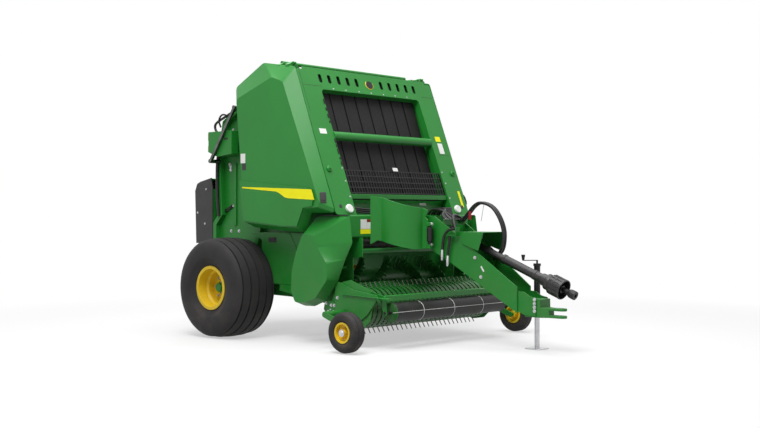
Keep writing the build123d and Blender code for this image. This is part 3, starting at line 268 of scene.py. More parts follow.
def metalMaterial(name, v):
    material, tree, shader, place = startMaterial(name, v)
    brushed = addNode(tree, "ShaderNodeMapping", Vector=place, Scale=v["brush"]).outputs[0]
    lines = noise(tree, brushed, 60.0, 3.0)
    cloud = useGroup(tree, sprayed, place, Cloud_Scale=14.0)[0]
    dressShader(tree, shader, toned(tree, cloud, v), lines, 0.22, v["rough"],
                lines, (0.15, 0.0004))
    return material


def lensMaterial(name, v):
    material, tree, shader, place = startMaterial(name, {"coat": 0.6})
    x, _, z = split(tree, place)
    waves = [mathNode(tree, "SINE", times(tree, way, 700.0)) for way in (x, z)]
    cells = ramped(tree, times(tree, *waves), -1.0, 1.0)
    dressShader(tree, shader, toned(tree, cells, v), cells, 0.0, 0.12, cells, (0.3, 0.0008))
    return material


finishes = {
    "shield_green": paintMaterial("green paint", {
        "dark": (0.009, 0.186, 0.018), "light": (0.012, 0.21, 0.023),
        "under": (0.1, 0.13, 0.1), "rough": 0.42}),
    # darker green of painted shade, for the feed parts deep in the machine where shade falls
    "shade_painted_green": paintMaterial("green paint darkened as painted shade", {
        "dark": (0.007, 0.098, 0.012), "light": (0.01, 0.128, 0.017),
        "under": (0.12, 0.13, 0.11), "rough": 0.38, "dust": 0.3}),
    "rim_yellow": paintMaterial("yellow paint", {
        "dark": (0.78, 0.53, 0.014), "light": (0.85, 0.6, 0.02),
        "under": (0.4, 0.36, 0.28), "rough": 0.38, "dust": 0.2}),
    "black_paint": paintMaterial("black paint", {
        "dark": (0.01, 0.01, 0.011), "light": (0.016, 0.016, 0.017),
        "under": (0.12, 0.12, 0.12), "rough": 0.38, "gloss": 0.3, "coat": 0.0, "dust": 0.1}),
    "black_plastic": rubberMaterial("black moulded plastic", {
        "dark": (0.016, 0.015, 0.016), "light": (0.026, 0.025, 0.026), "cloud": 6.0,
        "grain": 900.0, "rough": 0.24, "dust": 0.12, "dustUpTo": 1.0, "gloss": 0.4}),
    "tyre_rubber": rubberMaterial("tyre rubber", {
        "dark": (0.022, 0.0205, 0.0215), "light": (0.033, 0.0305, 0.032), "cloud": 4.0,
        "grain": 420.0, "rough": 0.6, "dust": 0.16, "dustUpTo": 0.5}),
    "hose_rubber": rubberMaterial("hose rubber", {
        "dark": (0.012, 0.011, 0.012), "light": (0.022, 0.021, 0.022), "cloud": 12.0,
        "grain": 700.0, "rough": 0.34, "dust": 0.1, "dustUpTo": 1.6, "gloss": 0.3}),
    "belt_rubber": beltMaterial("woven belt", {
        "dark": (0.009, 0.0085, 0.009), "light": (0.016, 0.015, 0.0155), "across": 1500.0,
        "along": 1100.0, "rough": 0.5, "bump": 0.5}),
    "net_white": beltMaterial("knitted net", {
        "dark": (0.55, 0.55, 0.53), "light": (0.82, 0.82, 0.8), "across": 500.0,
        "along": 380.0, "rough": 0.7, "bump": 0.8}),
    "bright_steel": metalMaterial("zinc plated steel", {
        "dark": (0.46, 0.46, 0.48), "light": (0.66, 0.66, 0.67), "rough": 0.26, "metal": 0.9,
        "brush": (1.0, 6.0, 6.0)}),
    # dark base colour for a mirror-like metal: painted dark reflection, standing in for the dark
    # surroundings the rods mirror
    "chrome_rod": metalMaterial("chromed rod", {
        "dark": (0.1, 0.105, 0.1), "light": (0.17, 0.175, 0.17), "rough": 0.1, "metal": 1.0,
        "brush": (8.0, 1.0, 1.0)}),
    "dark_steel": metalMaterial("dark steel", {
        "dark": (0.035, 0.033, 0.032), "light": (0.09, 0.085, 0.08), "rough": 0.36, "metal": 0.8,
        "brush": (1.0, 8.0, 8.0)}),
    "spring_steel": metalMaterial("spring steel", {
        "dark": (0.12, 0.117, 0.108), "light": (0.26, 0.25, 0.23), "rough": 0.42, "metal": 0.7,
        "brush": (1.0, 8.0, 8.0)}),
    "red_lens": lensMaterial("red lens", {
        "dark": (0.3, 0.004, 0.004), "light": (0.62, 0.015, 0.012)}),
    "white_lens": lensMaterial("white lens", {
        "dark": (0.72, 0.73, 0.7), "light": (0.92, 0.93, 0.9)}),
}
stickerWhite, stickerYellow, stickerRed = [rubberMaterial(name + " sticker", {
    "dark": dark, "light": light, "rough": rough, "cloud": 9.0, "grain": 300.0, "dust": 0.08,
    "dustUpTo": 1.2}) for name, dark, light, rough in (
        ("white", (0.8, 0.8, 0.78), (0.86, 0.86, 0.84), 0.35),
        ("yellow", (0.93, 0.84, 0.01), (0.98, 0.92, 0.014), 0.33),
        ("red", (0.24, 0.008, 0.014), (0.32, 0.014, 0.02), 0.33))]

for name, obj in nodes.items():
    obj.data.materials.clear()
    obj.data.materials.append(finishes[slotOf[name]])


def finishPiece(name, bm, body, slotName, replaced=(), material=None, bevel=0.0, sharp=32.0,
                recalc=False):
    # the last steps that every new piece shares
    if recalc:
        bmesh.ops.remove_doubles(bm, verts=bm.verts, dist=1e-5)
        bmesh.ops.recalc_face_normals(bm, faces=bm.faces)
    for face in bm.faces:
        face.smooth = True
    mesh = bpy.data.meshes.new(name)
    bm.to_mesh(mesh)
    bm.free()
    mesh.set_sharp_from_angle(angle=math.radians(sharp))
    piece = linked(bpy.data.objects.new(name, mesh))
    for one in material if isinstance(material, list) else [material or finishes[slotName]]:
        mesh.materials.append(one)
    if bevel:
        soft = piece.modifiers.new("soft edges", "BEVEL")
        soft.width = bevel
        soft.segments = 2
        soft.limit_method = "ANGLE"
        soft.angle_limit = math.radians(sharp)
        soft.use_clamp_overlap = True
        even = piece.modifiers.new("even shading", "WEIGHTED_NORMAL")
        even.keep_sharp = True
    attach(piece, body)
    if replaced:
        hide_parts(*replaced)
    return piece


def turnTo(normal):
    return Vector(normal).to_track_quat("Z", "Y").to_matrix().to_4x4()


print("hoses")
# distance ahead of the axle and height, as the part's source has them
hoses = {
    "loop": ((2.17, 1.215), (2.243, 1.277), (2.331, 1.375), (2.418, 1.404), (2.572, 1.354),
             (2.689, 1.16), (2.687, 0.992), (2.646, 0.902), (2.569, 0.842)),
    "loopAcross": (0.085, 0.119), "loopSize": 0.03,
    "drop": ((2.345, 1.14), (2.27, 1.14), (2.205, 1.096), (2.176, 1.016), (2.172, 0.936)),
    "shortDrop": ((2.262, 1.074), (2.262, 1.01), (2.244, 0.94), (2.24, 0.88)),
    "dropAcross": -0.215, "dropSize": 0.026,
    # distance along the coupler and radius
    "coupler": ((0.0, 0.0112), (0.004, 0.0132), (0.03, 0.0132), (0.034, 0.0155),
                (0.0725, 0.0155), (0.0765, 0.0128), (0.09, 0.0128), (0.0925, 0.0105),
                (0.1035, 0.0105)),
}


def routeCurve(name, points, resolution, kind="NURBS"):
    # line through places of x, distance ahead and height
    curve = bpy.data.curves.new(name, "CURVE")
    curve.dimensions = "3D"
    curve.resolution_u = resolution
    line = curve.splines.new(kind)
    line.points.add(len(points) - 1)
    for point, place in zip(line.points, points):
        point.co = (*at(*place), 1)
    if kind == "NURBS":
        line.order_u = 3
        line.use_endpoint_u = True
    return curve


def splineLength(curve):
    probe = bpy.data.objects.new("probe", curve)
    mesh = bpy.data.meshes.new_from_object(probe)
    length = sum((mesh.vertices[e.vertices[0]].co - mesh.vertices[e.vertices[1]].co).length
                 for e in mesh.edges)
    bpy.data.objects.remove(probe)
    bpy.data.meshes.remove(mesh)
    return length


def addHose(node, route, across, size, extra=()):
    name = node + "_rubber"
    curve = routeCurve(name, [(across, *place) for place in route], 8)
    length = splineLength(curve)
    curve.bevel_depth = size / 2
    curve.bevel_resolution = 4
    hose = linked(bpy.data.objects.new(name, curve))
    curve.materials.append(finishes["hose_rubber"])
    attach(hose, "frame")
    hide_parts(node)


def lathe(profile, start, axis, steps=24):
    # closed body turned about any axis, from points of distance along it and radius
    bm = bmesh.new()
    points = [(0.0, profile[0][0])] + [(r, z) for z, r in profile] + [(0.0, profile[-1][0])]
    verts = [bm.verts.new((r, 0, z)) for r, z in points]
    edges = [bm.edges.new(pair) for pair in zip(verts, verts[1:])]
    bmesh.ops.spin(bm, geom=verts + edges, cent=(0, 0, 0), axis=(0, 0, 1), dvec=(0, 0, 0),
                   angle=math.tau, steps=steps, use_merge=True)
    bmesh.ops.remove_doubles(bm, verts=bm.verts, dist=1e-5)
    bmesh.ops.recalc_face_normals(bm, faces=bm.faces)
    bm.transform(Matrix.Translation(start) @ turnTo(axis))
    return bm


def addCoupler(name, route, across, v):
    last, end = (at(across, *place) for place in route[-2:])
    return finishPiece(name, lathe(v["coupler"], end, end - last), "frame",
                       slotOf["hose_couplers"], replaced=("hose_couplers",))


def addHoses(v):
    for across, word in zip(v["loopAcross"], ("near", "far")):
        addHose("hose_loop_" + word, v["loop"], across, v["loopSize"])
    for word, route in (("near", v["drop"]), ("far", v["shortDrop"])):
        addHose("hose_drop_" + word, route, v["dropAcross"], v["dropSize"],
                [addCoupler("coupler_" + word, route, v["dropAcross"], v)])


addHoses(hoses)

print("sheet metal")
# how far the edges of each node are rounded, in metres
softEdges = {
    0.0: ("guard_screen", "front_belts", "gate_belts", "strippers", "tine_reel"),
    0.001: ("cylinder_rod_right", "cylinder_rod_left"),
    0.0012: ("feed_rotor",),
    0.0015: ("throat", "net_trough", "pickup_frame", "shaft_shield", "gauge_rim_right",
             "gauge_rim_left"),
    0.002: ("side_sheets", "frame_lugs", "front_face", "upper_shield_right",
            "upper_shield_left", "lower_shields", "lower_panels", "net_cover", "gussets",
            "jack_sleeve", "frame_rollers", "gate_rollers", "main_rim_right", "main_rim_left",
            "drive_tube", "cylinder_barrel_right", "cylinder_barrel_left", "tail_lamps",
            "work_lights", "baffle_roller"),
    0.0025: ("baffle_frame", "tongue"),
    0.003: ("front_beam", "axle", "gate_sides", "gate_frame", "belt_struts", "net_ends",
            "pickup_deflectors", "jack_leg", "net_roll"),
    0.004: ("hitch",),
    0.006: ("gearbox",),
}
# nodes whose look differs from their slot's; the strippers, feed rotor and throat take the darker
# green of painted shade
otherFinish = {"tine_reel": "spring_steel", "belt_struts": "chrome_rod",
               "strippers": "shade_painted_green", "feed_rotor": "shade_painted_green", "throat": "shade_painted_green"}
# the outer bends of the moulded shields, found by the plane that they border
shieldBends = {"planes": {"upper_shield_left": 1.15, "upper_shield_right": 1.15,
                          "lower_shields": 1.12},
               "radius": 0.018, "angles": (20, 75), "shortest": 0.08, "near": 0.0015}
# the louvre slots are a little wider in the sheet than in the solid
headerSlots = {"across": (0.19, 0.325, 0.46, 0.595, 0.725), "up": 1.488,
               "reach": (0.021, 0.053), "widen": 1.4}
# the front face leans back from its foot
lean = math.radians(21.4)
faceFoot = at(0, 1.53, 1.28)
faceUp = Vector((0, math.sin(lean), math.cos(lean)))
faceOut = Vector((0, -math.cos(lean), math.sin(lean)))
faceWays = (rightWay, faceUp, faceOut)


def onFace(x, up, out=0.0):
    return faceFoot + rightWay * x + faceUp * up + faceOut * out


def roundBends(bm, v, plane):
    low, high = (math.radians(angle) for angle in v["angles"])
    bends = [edge for edge in bm.edges if len(edge.link_faces) == 2
             and all(abs(abs(vert.co.x) - plane) < v["near"] for vert in edge.verts)
             and low < edge.calc_face_angle() < high and edge.calc_length() > v["shortest"]]
    bmesh.ops.bevel(bm, geom=bends, offset=v["radius"], segments=3, profile=0.5,
                    affect="EDGES", material=-1, clamp_overlap=True)


def openSlots(bm, v):
    for vert in bm.verts:
        place = vert.co - faceFoot
        nearest = min((side * x for x in v["across"] for side in (-1, 1)),
                      key=lambda x: abs(x - place.x))
        across, up = place.x - nearest, place.dot(faceUp) - v["up"]
        if abs(across) < v["reach"][0] and abs(up) < v["reach"][1]:
            vert.co.x = nearest + across * v["widen"]


def softenNode(node, width):
    bm = bmesh.new()
    bm.from_mesh(nodes[node].data)
    bmesh.ops.remove_doubles(bm, verts=bm.verts, dist=2e-5)
    bmesh.ops.dissolve_limit(bm, angle_limit=math.radians(0.6), verts=bm.verts, edges=bm.edges)
    if node == "front_face":
        openSlots(bm, headerSlots)
    if node in shieldBends["planes"]:
        roundBends(bm, shieldBends, shieldBends["planes"][node])
    finishPiece(node + "_finished", bm, bodyOf[node], slotOf[node], replaced=(node,),
                bevel=width, material=finishes[otherFinish.get(node, slotOf[node])])


for width, members in softEdges.items():
    for node in members:
        softenNode(node, width)

print("wheels")
# x from the tyre's middle and radius, over the side wall and across the crown
mainTyre = {
    "side": ((0.208, 0.2053), (0.2115, 0.2365), (0.222, 0.2445), (0.226, 0.26),
             (0.246, 0.276), (0.2565, 0.3), (0.26, 0.303), (0.264, 0.32),
             (0.2685, 0.35), (0.2695, 0.38), (0.266, 0.412), (0.259, 0.44),
             (0.248, 0.464), (0.234, 0.483)),
    "crown": ((0.24, 0.478), (0.16, 0.509), (0.0, 0.5198)),
    "grooves": (-0.2, -0.105, 0.0, 0.105, 0.2), "grooveWidth": 0.019,
    "grooveDepth": 0.019, "steps": 96,
}
gaugeTyre = {
    "side": ((0.0525, 0.0882), (0.0535, 0.102), (0.0665, 0.112), (0.0715, 0.122),
             (0.0722, 0.14), (0.07, 0.16), (0.062, 0.174)),
    "crown": ((0.062, 0.174), (0.036, 0.1885), (0.0, 0.1899)),
    "grooves": (-0.03, 0.03), "grooveWidth": 0.006, "grooveDepth": 0.006, "steps": 72,
}


def crownRadius(v, x):
    (xOuter, low), (xMid, middle), (_, top) = v["crown"]
    x = abs(x)
    if x < xMid:
        return top - (top - middle) * (x / xMid) ** 2
    return middle - (middle - low) * ((x - xMid) / (xOuter - xMid)) ** 2


def treadProfile(v):
    points = list(v["side"])
    half, deep = v["grooveWidth"] / 2, v["grooveDepth"]
    for groove in sorted(v["grooves"], reverse=True):
        radius = crownRadius(v, groove)
        points += [(groove + half + 0.001, radius), (groove + half - 0.002, radius - deep),
                   (groove - half + 0.002, radius - deep), (groove - half - 0.001, radius)]
    return points + [(-x, radius) for x, radius in reversed(v["side"])]


def turned(profile, centre, side, steps):
    # ring turned about a line along X through the centre, from points of x and radius
    bm = bmesh.new()
    verts = [bm.verts.new(centre + Vector((x * side, 0, radius))) for x, radius in profile]
    edges = [bm.edges.new(pair) for pair in zip(verts, verts[1:] + verts[:1])]
    bmesh.ops.spin(bm, geom=verts + edges, cent=centre, axis=(1, 0, 0), dvec=(0, 0, 0),
                   angle=math.tau, steps=steps, use_merge=True)
    return bm


def addTyre(node, v, side):
    finishPiece(node + "_tread", turned(treadProfile(v), nodeCentre(node), side, v["steps"]),
                bodyOf[node], "tyre_rubber", replaced=(node,), recalc=True, sharp=40)


def addCone(bm, segments, foot, top, height, place):
    bmesh.ops.create_cone(bm, cap_ends=True, segments=segments, radius1=foot, radius2=top,
                          depth=height, matrix=place)


def addBolts(name, spots, radius, height, body, slotName="bright_steel"):
    # hexagon heads on washers; each spot is a place and the way it faces
    bm = bmesh.new()
    washer = radius * 1.55
    for place, normal in spots:
        stand = Matrix.Translation(place) @ turnTo(normal)
        addCone(bm, 16, washer, washer * 0.96, height * 0.3,
                stand @ Matrix.Translation(zenith * height * 0.12))
        addCone(bm, 6, radius, radius * 0.93, height,
                stand @ Matrix.Translation(zenith * height * 0.6))
    return finishPiece(name, bm, body, slotName)


wheelNuts = {"circle": 0.128, "count": 8, "start": 0.0, "radius": 0.013, "height": 0.02,
             "x": 1.162}
hubBolts = {"circle": 0.0565, "count": 6, "start": 0.4, "radius": 0.0045, "height": 0.006,
            "x": 1.203}
hubCap = {"x": 1.182, "steps": 32,
          "profile": ((0.0, 0.07), (0.012, 0.07), (0.018, 0.062), (0.022, 0.05),
                      (0.058, 0.047), (0.066, 0.038), (0.068, 0.0), (0.0, 0.0))}
gaugeHub = {"x": 1.3905, "steps": 24,
            "profile": ((0.0, 0.0), (0.0, 0.034), (0.004, 0.034), (0.005, 0.02),
                        (0.009, 0.017), (0.0095, 0.0))}


def addBoltRing(name, v, centre, side, body):
    turns = [v["start"] + math.tau * n / v["count"] for n in range(v["count"])]
    spots = [(Vector((side * v["x"], centre.y + v["circle"] * math.cos(turn),
                      centre.z + v["circle"] * math.sin(turn))), (side, 0, 0)) for turn in turns]
    addBolts(name, spots, v["radius"], v["height"], body)


def addHub(name, v, centre, side, body, slotName):
    middle = Vector((side * v["x"], centre.y, centre.z))
    finishPiece(name, turned(v["profile"], middle, side, v["steps"]), body, slotName,
                recalc=True)


for word, side in bothSides:
    addTyre("main_tyre_" + word, mainTyre, side)
    addTyre("gauge_tyre_" + word, gaugeTyre, side)
    centre = nodeCentre("main_tyre_" + word)
    addBoltRing("wheel_nuts_" + word, wheelNuts, centre, side, "wheel_" + word)
    addBoltRing("hub_bolts_" + word, hubBolts, centre, side, "wheel_" + word)
    addHub("hub_cap_" + word, hubCap, centre, side, "wheel_" + word, "shield_green")
    addHub("gauge_hub_" + word, gaugeHub, nodeCentre("gauge_tyre_" + word), side,
           "gauge_" + word, "bright_steel")

print("shared makers of plates and pipes")
frontWays = (rightWay, zenith, towWay)


def sideWays(side):
    return towWay, zenith, Vector((side, 0, 0))


def slab(bm, centre, ways, size, index=0):
    # box of a size across, up and out, whose back rests on the centre point
    ways = [way.normalized() for way in ways]
    place = Matrix.Translation(centre + ways[2] * size[2] / 2)
    made = bmesh.ops.create_cube(bm, size=1.0, matrix=place @ Matrix(ways).transposed().to_4x4()
                                 @ Matrix.Diagonal((*size, 1)))
    for face in {face for vert in made["verts"] for face in vert.link_faces}:
        face.material_index = index


def addPlates(name, ways, plates, body, slotName, material=None, bevel=0.001):
    # thin boxes: centre of the back, size and, where a piece has several, the finish's index
    bm = bmesh.new()
    for plate in plates:
        slab(bm, plate[0], ways, *plate[1:])
    return finishPiece(name, bm, body, slotName, material=material, bevel=bevel, recalc=True)


def addTable(table, body, place, ways, ending="", side=1):
    # spots: three numbers of a place, then width, height, thickness and the finish's index
    for name, v in table.items():
        plates = [(place(side * spot[0], *spot[1:3]), spot[3:6], *spot[6:]) for spot in v["spots"]]
        addPlates(name + ending, v.get("ways", ways), plates, body, v["slot"], v.get("material"),
                  v.get("bevel", 0.001))


def extruded(bm, points, push):
    # closed plate, from the corners of one side and the way to the other
    face = bm.faces.new([bm.verts.new(point) for point in points])
    grown = bmesh.ops.extrude_face_region(bm, geom=[face])["geom"]
    moved = [item for item in grown if isinstance(item, bmesh.types.BMVert)]
    bmesh.ops.translate(bm, verts=moved, vec=push)
    return moved


def addCutPlate(name, points, push, body, slotName, **finish):
    bm = bmesh.new()
    extruded(bm, points, push)
    return finishPiece(name, bm, body, slotName, recalc=True, **finish)


def addPipe(name, points, radius, body, slotName="hose_rubber", kind="NURBS"):
    # fixed line clipped along the machine
    curve = routeCurve(name, points, 6, kind)
    curve.bevel_depth = radius
    curve.bevel_resolution = 3
    curve.use_fill_caps = True
    pipe = linked(bpy.data.objects.new(name, curve))
    curve.materials.append(finishes[slotName])
    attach(pipe, body)


def mirrored(points, side):
    return [(side * x, a, z) for x, a, z in points]


print("face")
# plates on the face, at x and how far up and out
facePlates = {
    "column_stickers": {"slot": "white_lens", "bevel": 0, "spots": (
        (-0.9, 0.89, 0, 0.095, 0.055, 0.0012, 0), (0.885, 0.895, 0, 0.085, 0.06, 0.0012, 1),
        (0.893, 0.782, 0, 0.08, 0.125, 0.0012, 0), (0.965, 0.18, 0, 0.035, 0.19, 0.0012, 1)),
        "material": [stickerWhite, stickerYellow]},
    # black plate behind the louvre slots: painted shade for the slots' dark insides
    "painted_shade_behind_slots": {"slot": "black_plastic", "spots": ((0, 1.488, -0.03, 1.56, 0.125, 0.002),)},
    "window_clips": {"slot": "black_paint", "bevel": 0.002, "spots": [
        (-0.766, up, 0, 0.014, length, 0.009) for up, length in (
            (1.225, 0.055), (1.14, 0.03), (1.065, 0.045), (1.0, 0.02), (0.79, 0.05),
            (0.735, 0.03), (0.675, 0.055), (0.6, 0.025), (0.545, 0.045))]},
    # seams of the cover plates
    "face_seams": {"slot": "black_plastic", "bevel": 0, "spots": (
        (-0.872, 1.398, 0, 0.27, 0.0035, 0.0008), (-1.0, 1.33, 0, 0.0035, 0.46, 0.0008),
        (0.925, 1.408, 0, 0.19, 0.0035, 0.0008), (0.905, 0.702, 0, 0.21, 0.0035, 0.0008))},
    "top_lip": {"slot": "shield_green", "bevel": 0.0015,
                "spots": ((0, 1.588, -0.006, 1.9, 0.03, 0.004),)},
    "guard_label": {"slot": "white_lens", "material": stickerWhite,
                    "spots": ((0.004, 0.497, 0.01, 0.075, 0.038, 0.002),)},
}
addTable(facePlates, "frame", onFace, faceWays)

faceDetail = {
    "headerBolts": [(x, 1.382) for x in (-0.574, -0.388, -0.195, -0.005, 0.185, 0.375, 0.565)],
    "edgeBolts": ((-0.778, 0.495), (-0.779, 0.356), (0.782, 0.493), (0.786, 0.363),
                  (-0.776, 0.19), (0.78, 0.19)),
    "knobs": {"left": (-0.966, 0.479), "right": (0.952, 0.482)},
    "knobProfile": ((0.0, 0.031), (0.012, 0.031), (0.018, 0.025), (0.0185, 0.012),
                    (0.022, 0.009), (0.0225, 0.002)),
    "plugs": ((-0.949, 0.089), (0.949, 0.089)), "plugSize": (0.022, 0.019, 0.004),
    "badge": (0.0, 1.477), "badgeSize": (0.06, 0.052, 0.004),
    # finish, share of the badge's size and how far out it stands
    "badgeParts": {"badge_rim": ("rim_yellow", 1.0, 0.001),
                   "badge_plate": ("black_paint", 0.86, 0.0045)},
}


def dressFace(v):
    for name, spots, radius in (("header_bolts", v["headerBolts"], 0.0055),
                                ("face_bolts", v["edgeBolts"], 0.006)):
        addBolts(name, [(onFace(*spot), faceOut) for spot in spots], radius, 0.006, "frame")
    for word, spot in v["knobs"].items():
        knob = lathe(v["knobProfile"], onFace(*spot), faceOut, 20)
        finishPiece("knob_" + word, knob, "frame", "shield_green")
        addBolts("knob_bolt_" + word, [(onFace(*spot, 0.02), faceOut)], 0.01, 0.01, "frame",
                 "shield_green")
    wide, narrow, deep = v["plugSize"]
    bm = bmesh.new()
    for x, up in v["plugs"]:
        addCone(bm, 20, wide, narrow, deep,
                Matrix.Translation(onFace(x, up, 0.001)) @ turnTo(faceOut))
    finishPiece("face_plugs", bm, "frame", "black_plastic")
    wide, high, deep = v["badgeSize"]
    for name, (slotName, share, out) in v["badgeParts"].items():
        bm = bmesh.new()
        addCone(bm, 40, share, share * 0.96, deep, Matrix.Translation(onFace(*v["badge"], out))
                @ Matrix(faceWays).transposed().to_4x4() @ Matrix.Diagonal((wide, high, 1, 1)))
        finishPiece(name, bm, "frame", slotName)


dressFace(faceDetail)

print("beam and tongue")
beamDetail = {
    # plate in front of the lowest belt roller: distance ahead and height of its bends
    "cover": ((1.338, 1.425), (1.372, 1.335), (1.374, 1.19)), "coverHalf": 0.772,
    "coverThick": 0.0025,
    # x, distance ahead, height and share of the lift that each line of the three has more
    "lampLine": ((-0.815, 1.455, 1.335, 0.3), (-0.74, 1.5, 1.312, 1), (-0.6, 1.515, 1.292, 1),
                 (-0.45, 1.52, 1.305, 1), (-0.3, 1.5, 1.345, 1), (-0.2, 1.47, 1.372, 0.5),
                 (-0.12, 1.44, 1.36, 0)),
    "lampLift": 0.018, "lampSize": 0.0095,
}
# plates on the beam and the tongue, at x, distance ahead and height
beamPlates = {
    "beam_sticker": {"slot": "white_lens", "bevel": 0, "spots": (
        (-0.735, 1.604, 1.186, 0.088, 0.094, 0.0012, 0),
        (-0.645, 1.604, 1.22, 0.086, 0.026, 0.0012, 2),
        (-0.645, 1.604, 1.172, 0.086, 0.066, 0.0012, 0),
        (-0.69, 1.604, 1.113, 0.182, 0.044, 0.0012, 1)),
        "material": [stickerWhite, stickerYellow, stickerRed]},
    "cover_tag": {"slot": "white_lens", "material": stickerWhite,
                  "spots": ((0.455, 1.352, 1.388, 0.105, 0.026, 0.0015),),
                  "ways": (rightWay, Vector((0, 0.35, 0.94)), Vector((0, -0.94, 0.35)))},
    "valve_block": {"slot": "black_plastic", "bevel": 0.004, "spots": (
        (0.56, 1.5, 1.26, 0.15, 0.19, 0.11), (0.56, 1.61, 1.2695, 0.075, 0.076, 0.035))},
    "red_tag": {"slot": "red_lens", "material": stickerRed,
                "spots": ((0.06, 2.3, 1.27, 0.026, 0.08, 0.003),),
                "ways": (Vector((0.5, -0.87, 0)), zenith, Vector((-0.87, -0.5, 0)))},
    "bulkhead_strip": {"slot": "bright_steel", "bevel": 0.0008,
                       "spots": ((0, 2.163, 1.233, 0.33, 0.034, 0.003),),
                       "ways": (rightWay, towWay, zenith)},
}
addTable(beamPlates, "frame", at, frontWays)


def dressBeam(v):
    thick = v["coverThick"]
    outline = [*v["cover"], *((a - thick, z) for a, z in reversed(v["cover"]))]
    addCutPlate("roller_cover", [at(-v["coverHalf"], *place) for place in outline],
                rightWay * v["coverHalf"] * 2, "frame", "shield_green", bevel=0.0008)
    for n in range(3):
        addPipe(f"lamp_line_{n}", [(x, a, z + n * v["lampLift"] * share)
                                   for x, a, z, share in v["lampLine"]], v["lampSize"], "frame",
                "black_plastic")


dressBeam(beamDetail)

tongueDetail = {
    # lines along the top of the tongue, from the beam to the bulkhead: x at both ends
    "lines": ((0.4, -0.105), (0.36, -0.065), (0.315, -0.025), (0.27, 0.015), (0.225, 0.055)),
    # share of the way across, x beside it, ahead, height and share of the drop of every other
    "linePath": ((0, 0.05, 1.56, 1.235, 0), (0, 0.02, 1.62, 1.312, 1),
                 (0, -0.06, 1.76, 1.338, 1), (0.5, 0.0, 1.9, 1.314, 1),
                 (1, 0.02, 2.05, 1.262, 1), (1, 0.0, 2.14, 1.222, 0)),
    "lineDrop": 0.01, "lineSize": 0.0125,
    "fitting": ((0.0, 0.011), (0.004, 0.0145), (0.026, 0.0145), (0.028, 0.0118),
                (0.04, 0.0118)),
    "fittingEnds": ((2.105, 1.222), (2.165, 1.206)),
    # bolts and slots in the left plate and in the right one
    "bolts": {-1: ((-0.1555, 2.527, 0.865), (-0.149, 2.595, 0.681)), 1: ((0.16, 2.45, 0.93),)},
    "slots": {-1: (-0.147, 2.612, 0.759), 1: (0.132, 2.658, 0.763)},
    "slotSize": (0.062, 0.016, 0.0012),
    "nose": (0.098, 3.178), "noseBolts": (0.491, 0.454, 0.42, 0.385),
    "rod": ((0.1, 2.44, 1.372), (0.1, 2.408, 1.215)),
    # x, distance ahead and height, and the second hose's share of its lift
    "bridge": ((0.085, 2.172, 1.216, 0), (0.06, 2.16, 1.236, 1), (-0.01, 2.165, 1.252, 1),
               (-0.11, 2.215, 1.248, 1), (-0.19, 2.29, 1.205, 0.5), (-0.214, 2.33, 1.15, 0)),
    "bridgeLift": 0.026, "bridgeAcross": 0.034, "bridgeSize": 0.0135,
}


def dressTongue(v):
    for n, (near, far) in enumerate(v["lines"]):
        drop = v["lineDrop"] * (n % 2)
        addPipe(f"tongue_line_{n}", [(near + (far - near) * share + beside, a, z - drop * low)
                                     for share, beside, a, z, low in v["linePath"]],
                v["lineSize"], "frame")
        start, end = (at(far, *place) for place in v["fittingEnds"])
        finishPiece(f"tongue_fitting_{n}", lathe(v["fitting"], start, end - start, 6), "frame",
                    "bright_steel")
    outWays = {side: Vector((0.997 * side, -0.08, 0)) for side in (-1, 1)}
    spots = [(at(*place), outWays[side]) for side in (-1, 1) for place in v["bolts"][side]]
    x, a = v["nose"]
    spots += [(at(side * x, a, z), (side, 0, 0)) for side in (-1, 1) for z in v["noseBolts"]]
    addBolts("tongue_bolts", spots, 0.0115, 0.01, "frame")
    lengthwise = Vector((0, -0.55, -0.83))
    bm = bmesh.new()
    for side, out in outWays.items():
        slab(bm, at(*v["slots"][side]), (lengthwise, out.cross(lengthwise), out), v["slotSize"])
    finishPiece("tongue_slots", bm, "frame", "white_lens", material=stickerWhite, bevel=0.0005,
                recalc=True)
    addPipe("hose_stay", v["rod"], 0.0035, "frame", "bright_steel", "POLY")
    for n in range(2):
        points = [(x, a, z + n * v["bridgeLift"] * share) for x, a, z, share in v["bridge"]]
        x, a, z = points[0]
        points[0] = (x + n * v["bridgeAcross"], a, z)
        addPipe(f"hose_bridge_{n}", points, v["bridgeSize"], "frame")


dressTongue(tongueDetail)

print("shields and panels")
shieldDetail = {
    # yellow stripe on the step of each upper shield: distance ahead and height of its corners
    "stripe": ((0.288, 1.563), (0.6, 1.552), (1.305, 1.524), (1.318, 1.51), (1.352, 1.422),
               (0.985, 1.441), (0.935, 1.45), (0.845, 1.496), (0.8, 1.51), (0.288, 1.551)),
    "stripeX": 1.164, "thick": 0.0012,
    "plates": {"warning_label_": {"slot": "white_lens", "bevel": 0, "material": stickerWhite,
                                  "spots": ((1.15, 0.284, 1.858, 0.072, 0.098, 0.0012),)},
               "dark_label_": {"slot": "black_plastic", "bevel": 0,
                               "spots": ((1.15, 0.3, 1.772, 0.06, 0.072, 0.0012),)}},
    "latch": (1.106, 1.414, 1.443), "latchOut": (0.55, -0.78, 0.31),
    "latchSizes": ((0.062, 0.108, 0.008), (0.04, 0.07, 0.005)),
    # black line along the top of each lower shield: painted shade, standing in for the shadow gap
    # under the upper shield
    "shadeLine": ((1.04, 0.93), (1.085, 0.99), (1.11, 1.04), (1.15, 1.15), (1.178, 1.225),
               (1.205, 1.262), (1.26, 1.27), (1.45, 1.27), (1.64, 1.27)),
    "shadeLineX": 0.988, "shadeLineSize": 0.006,
}


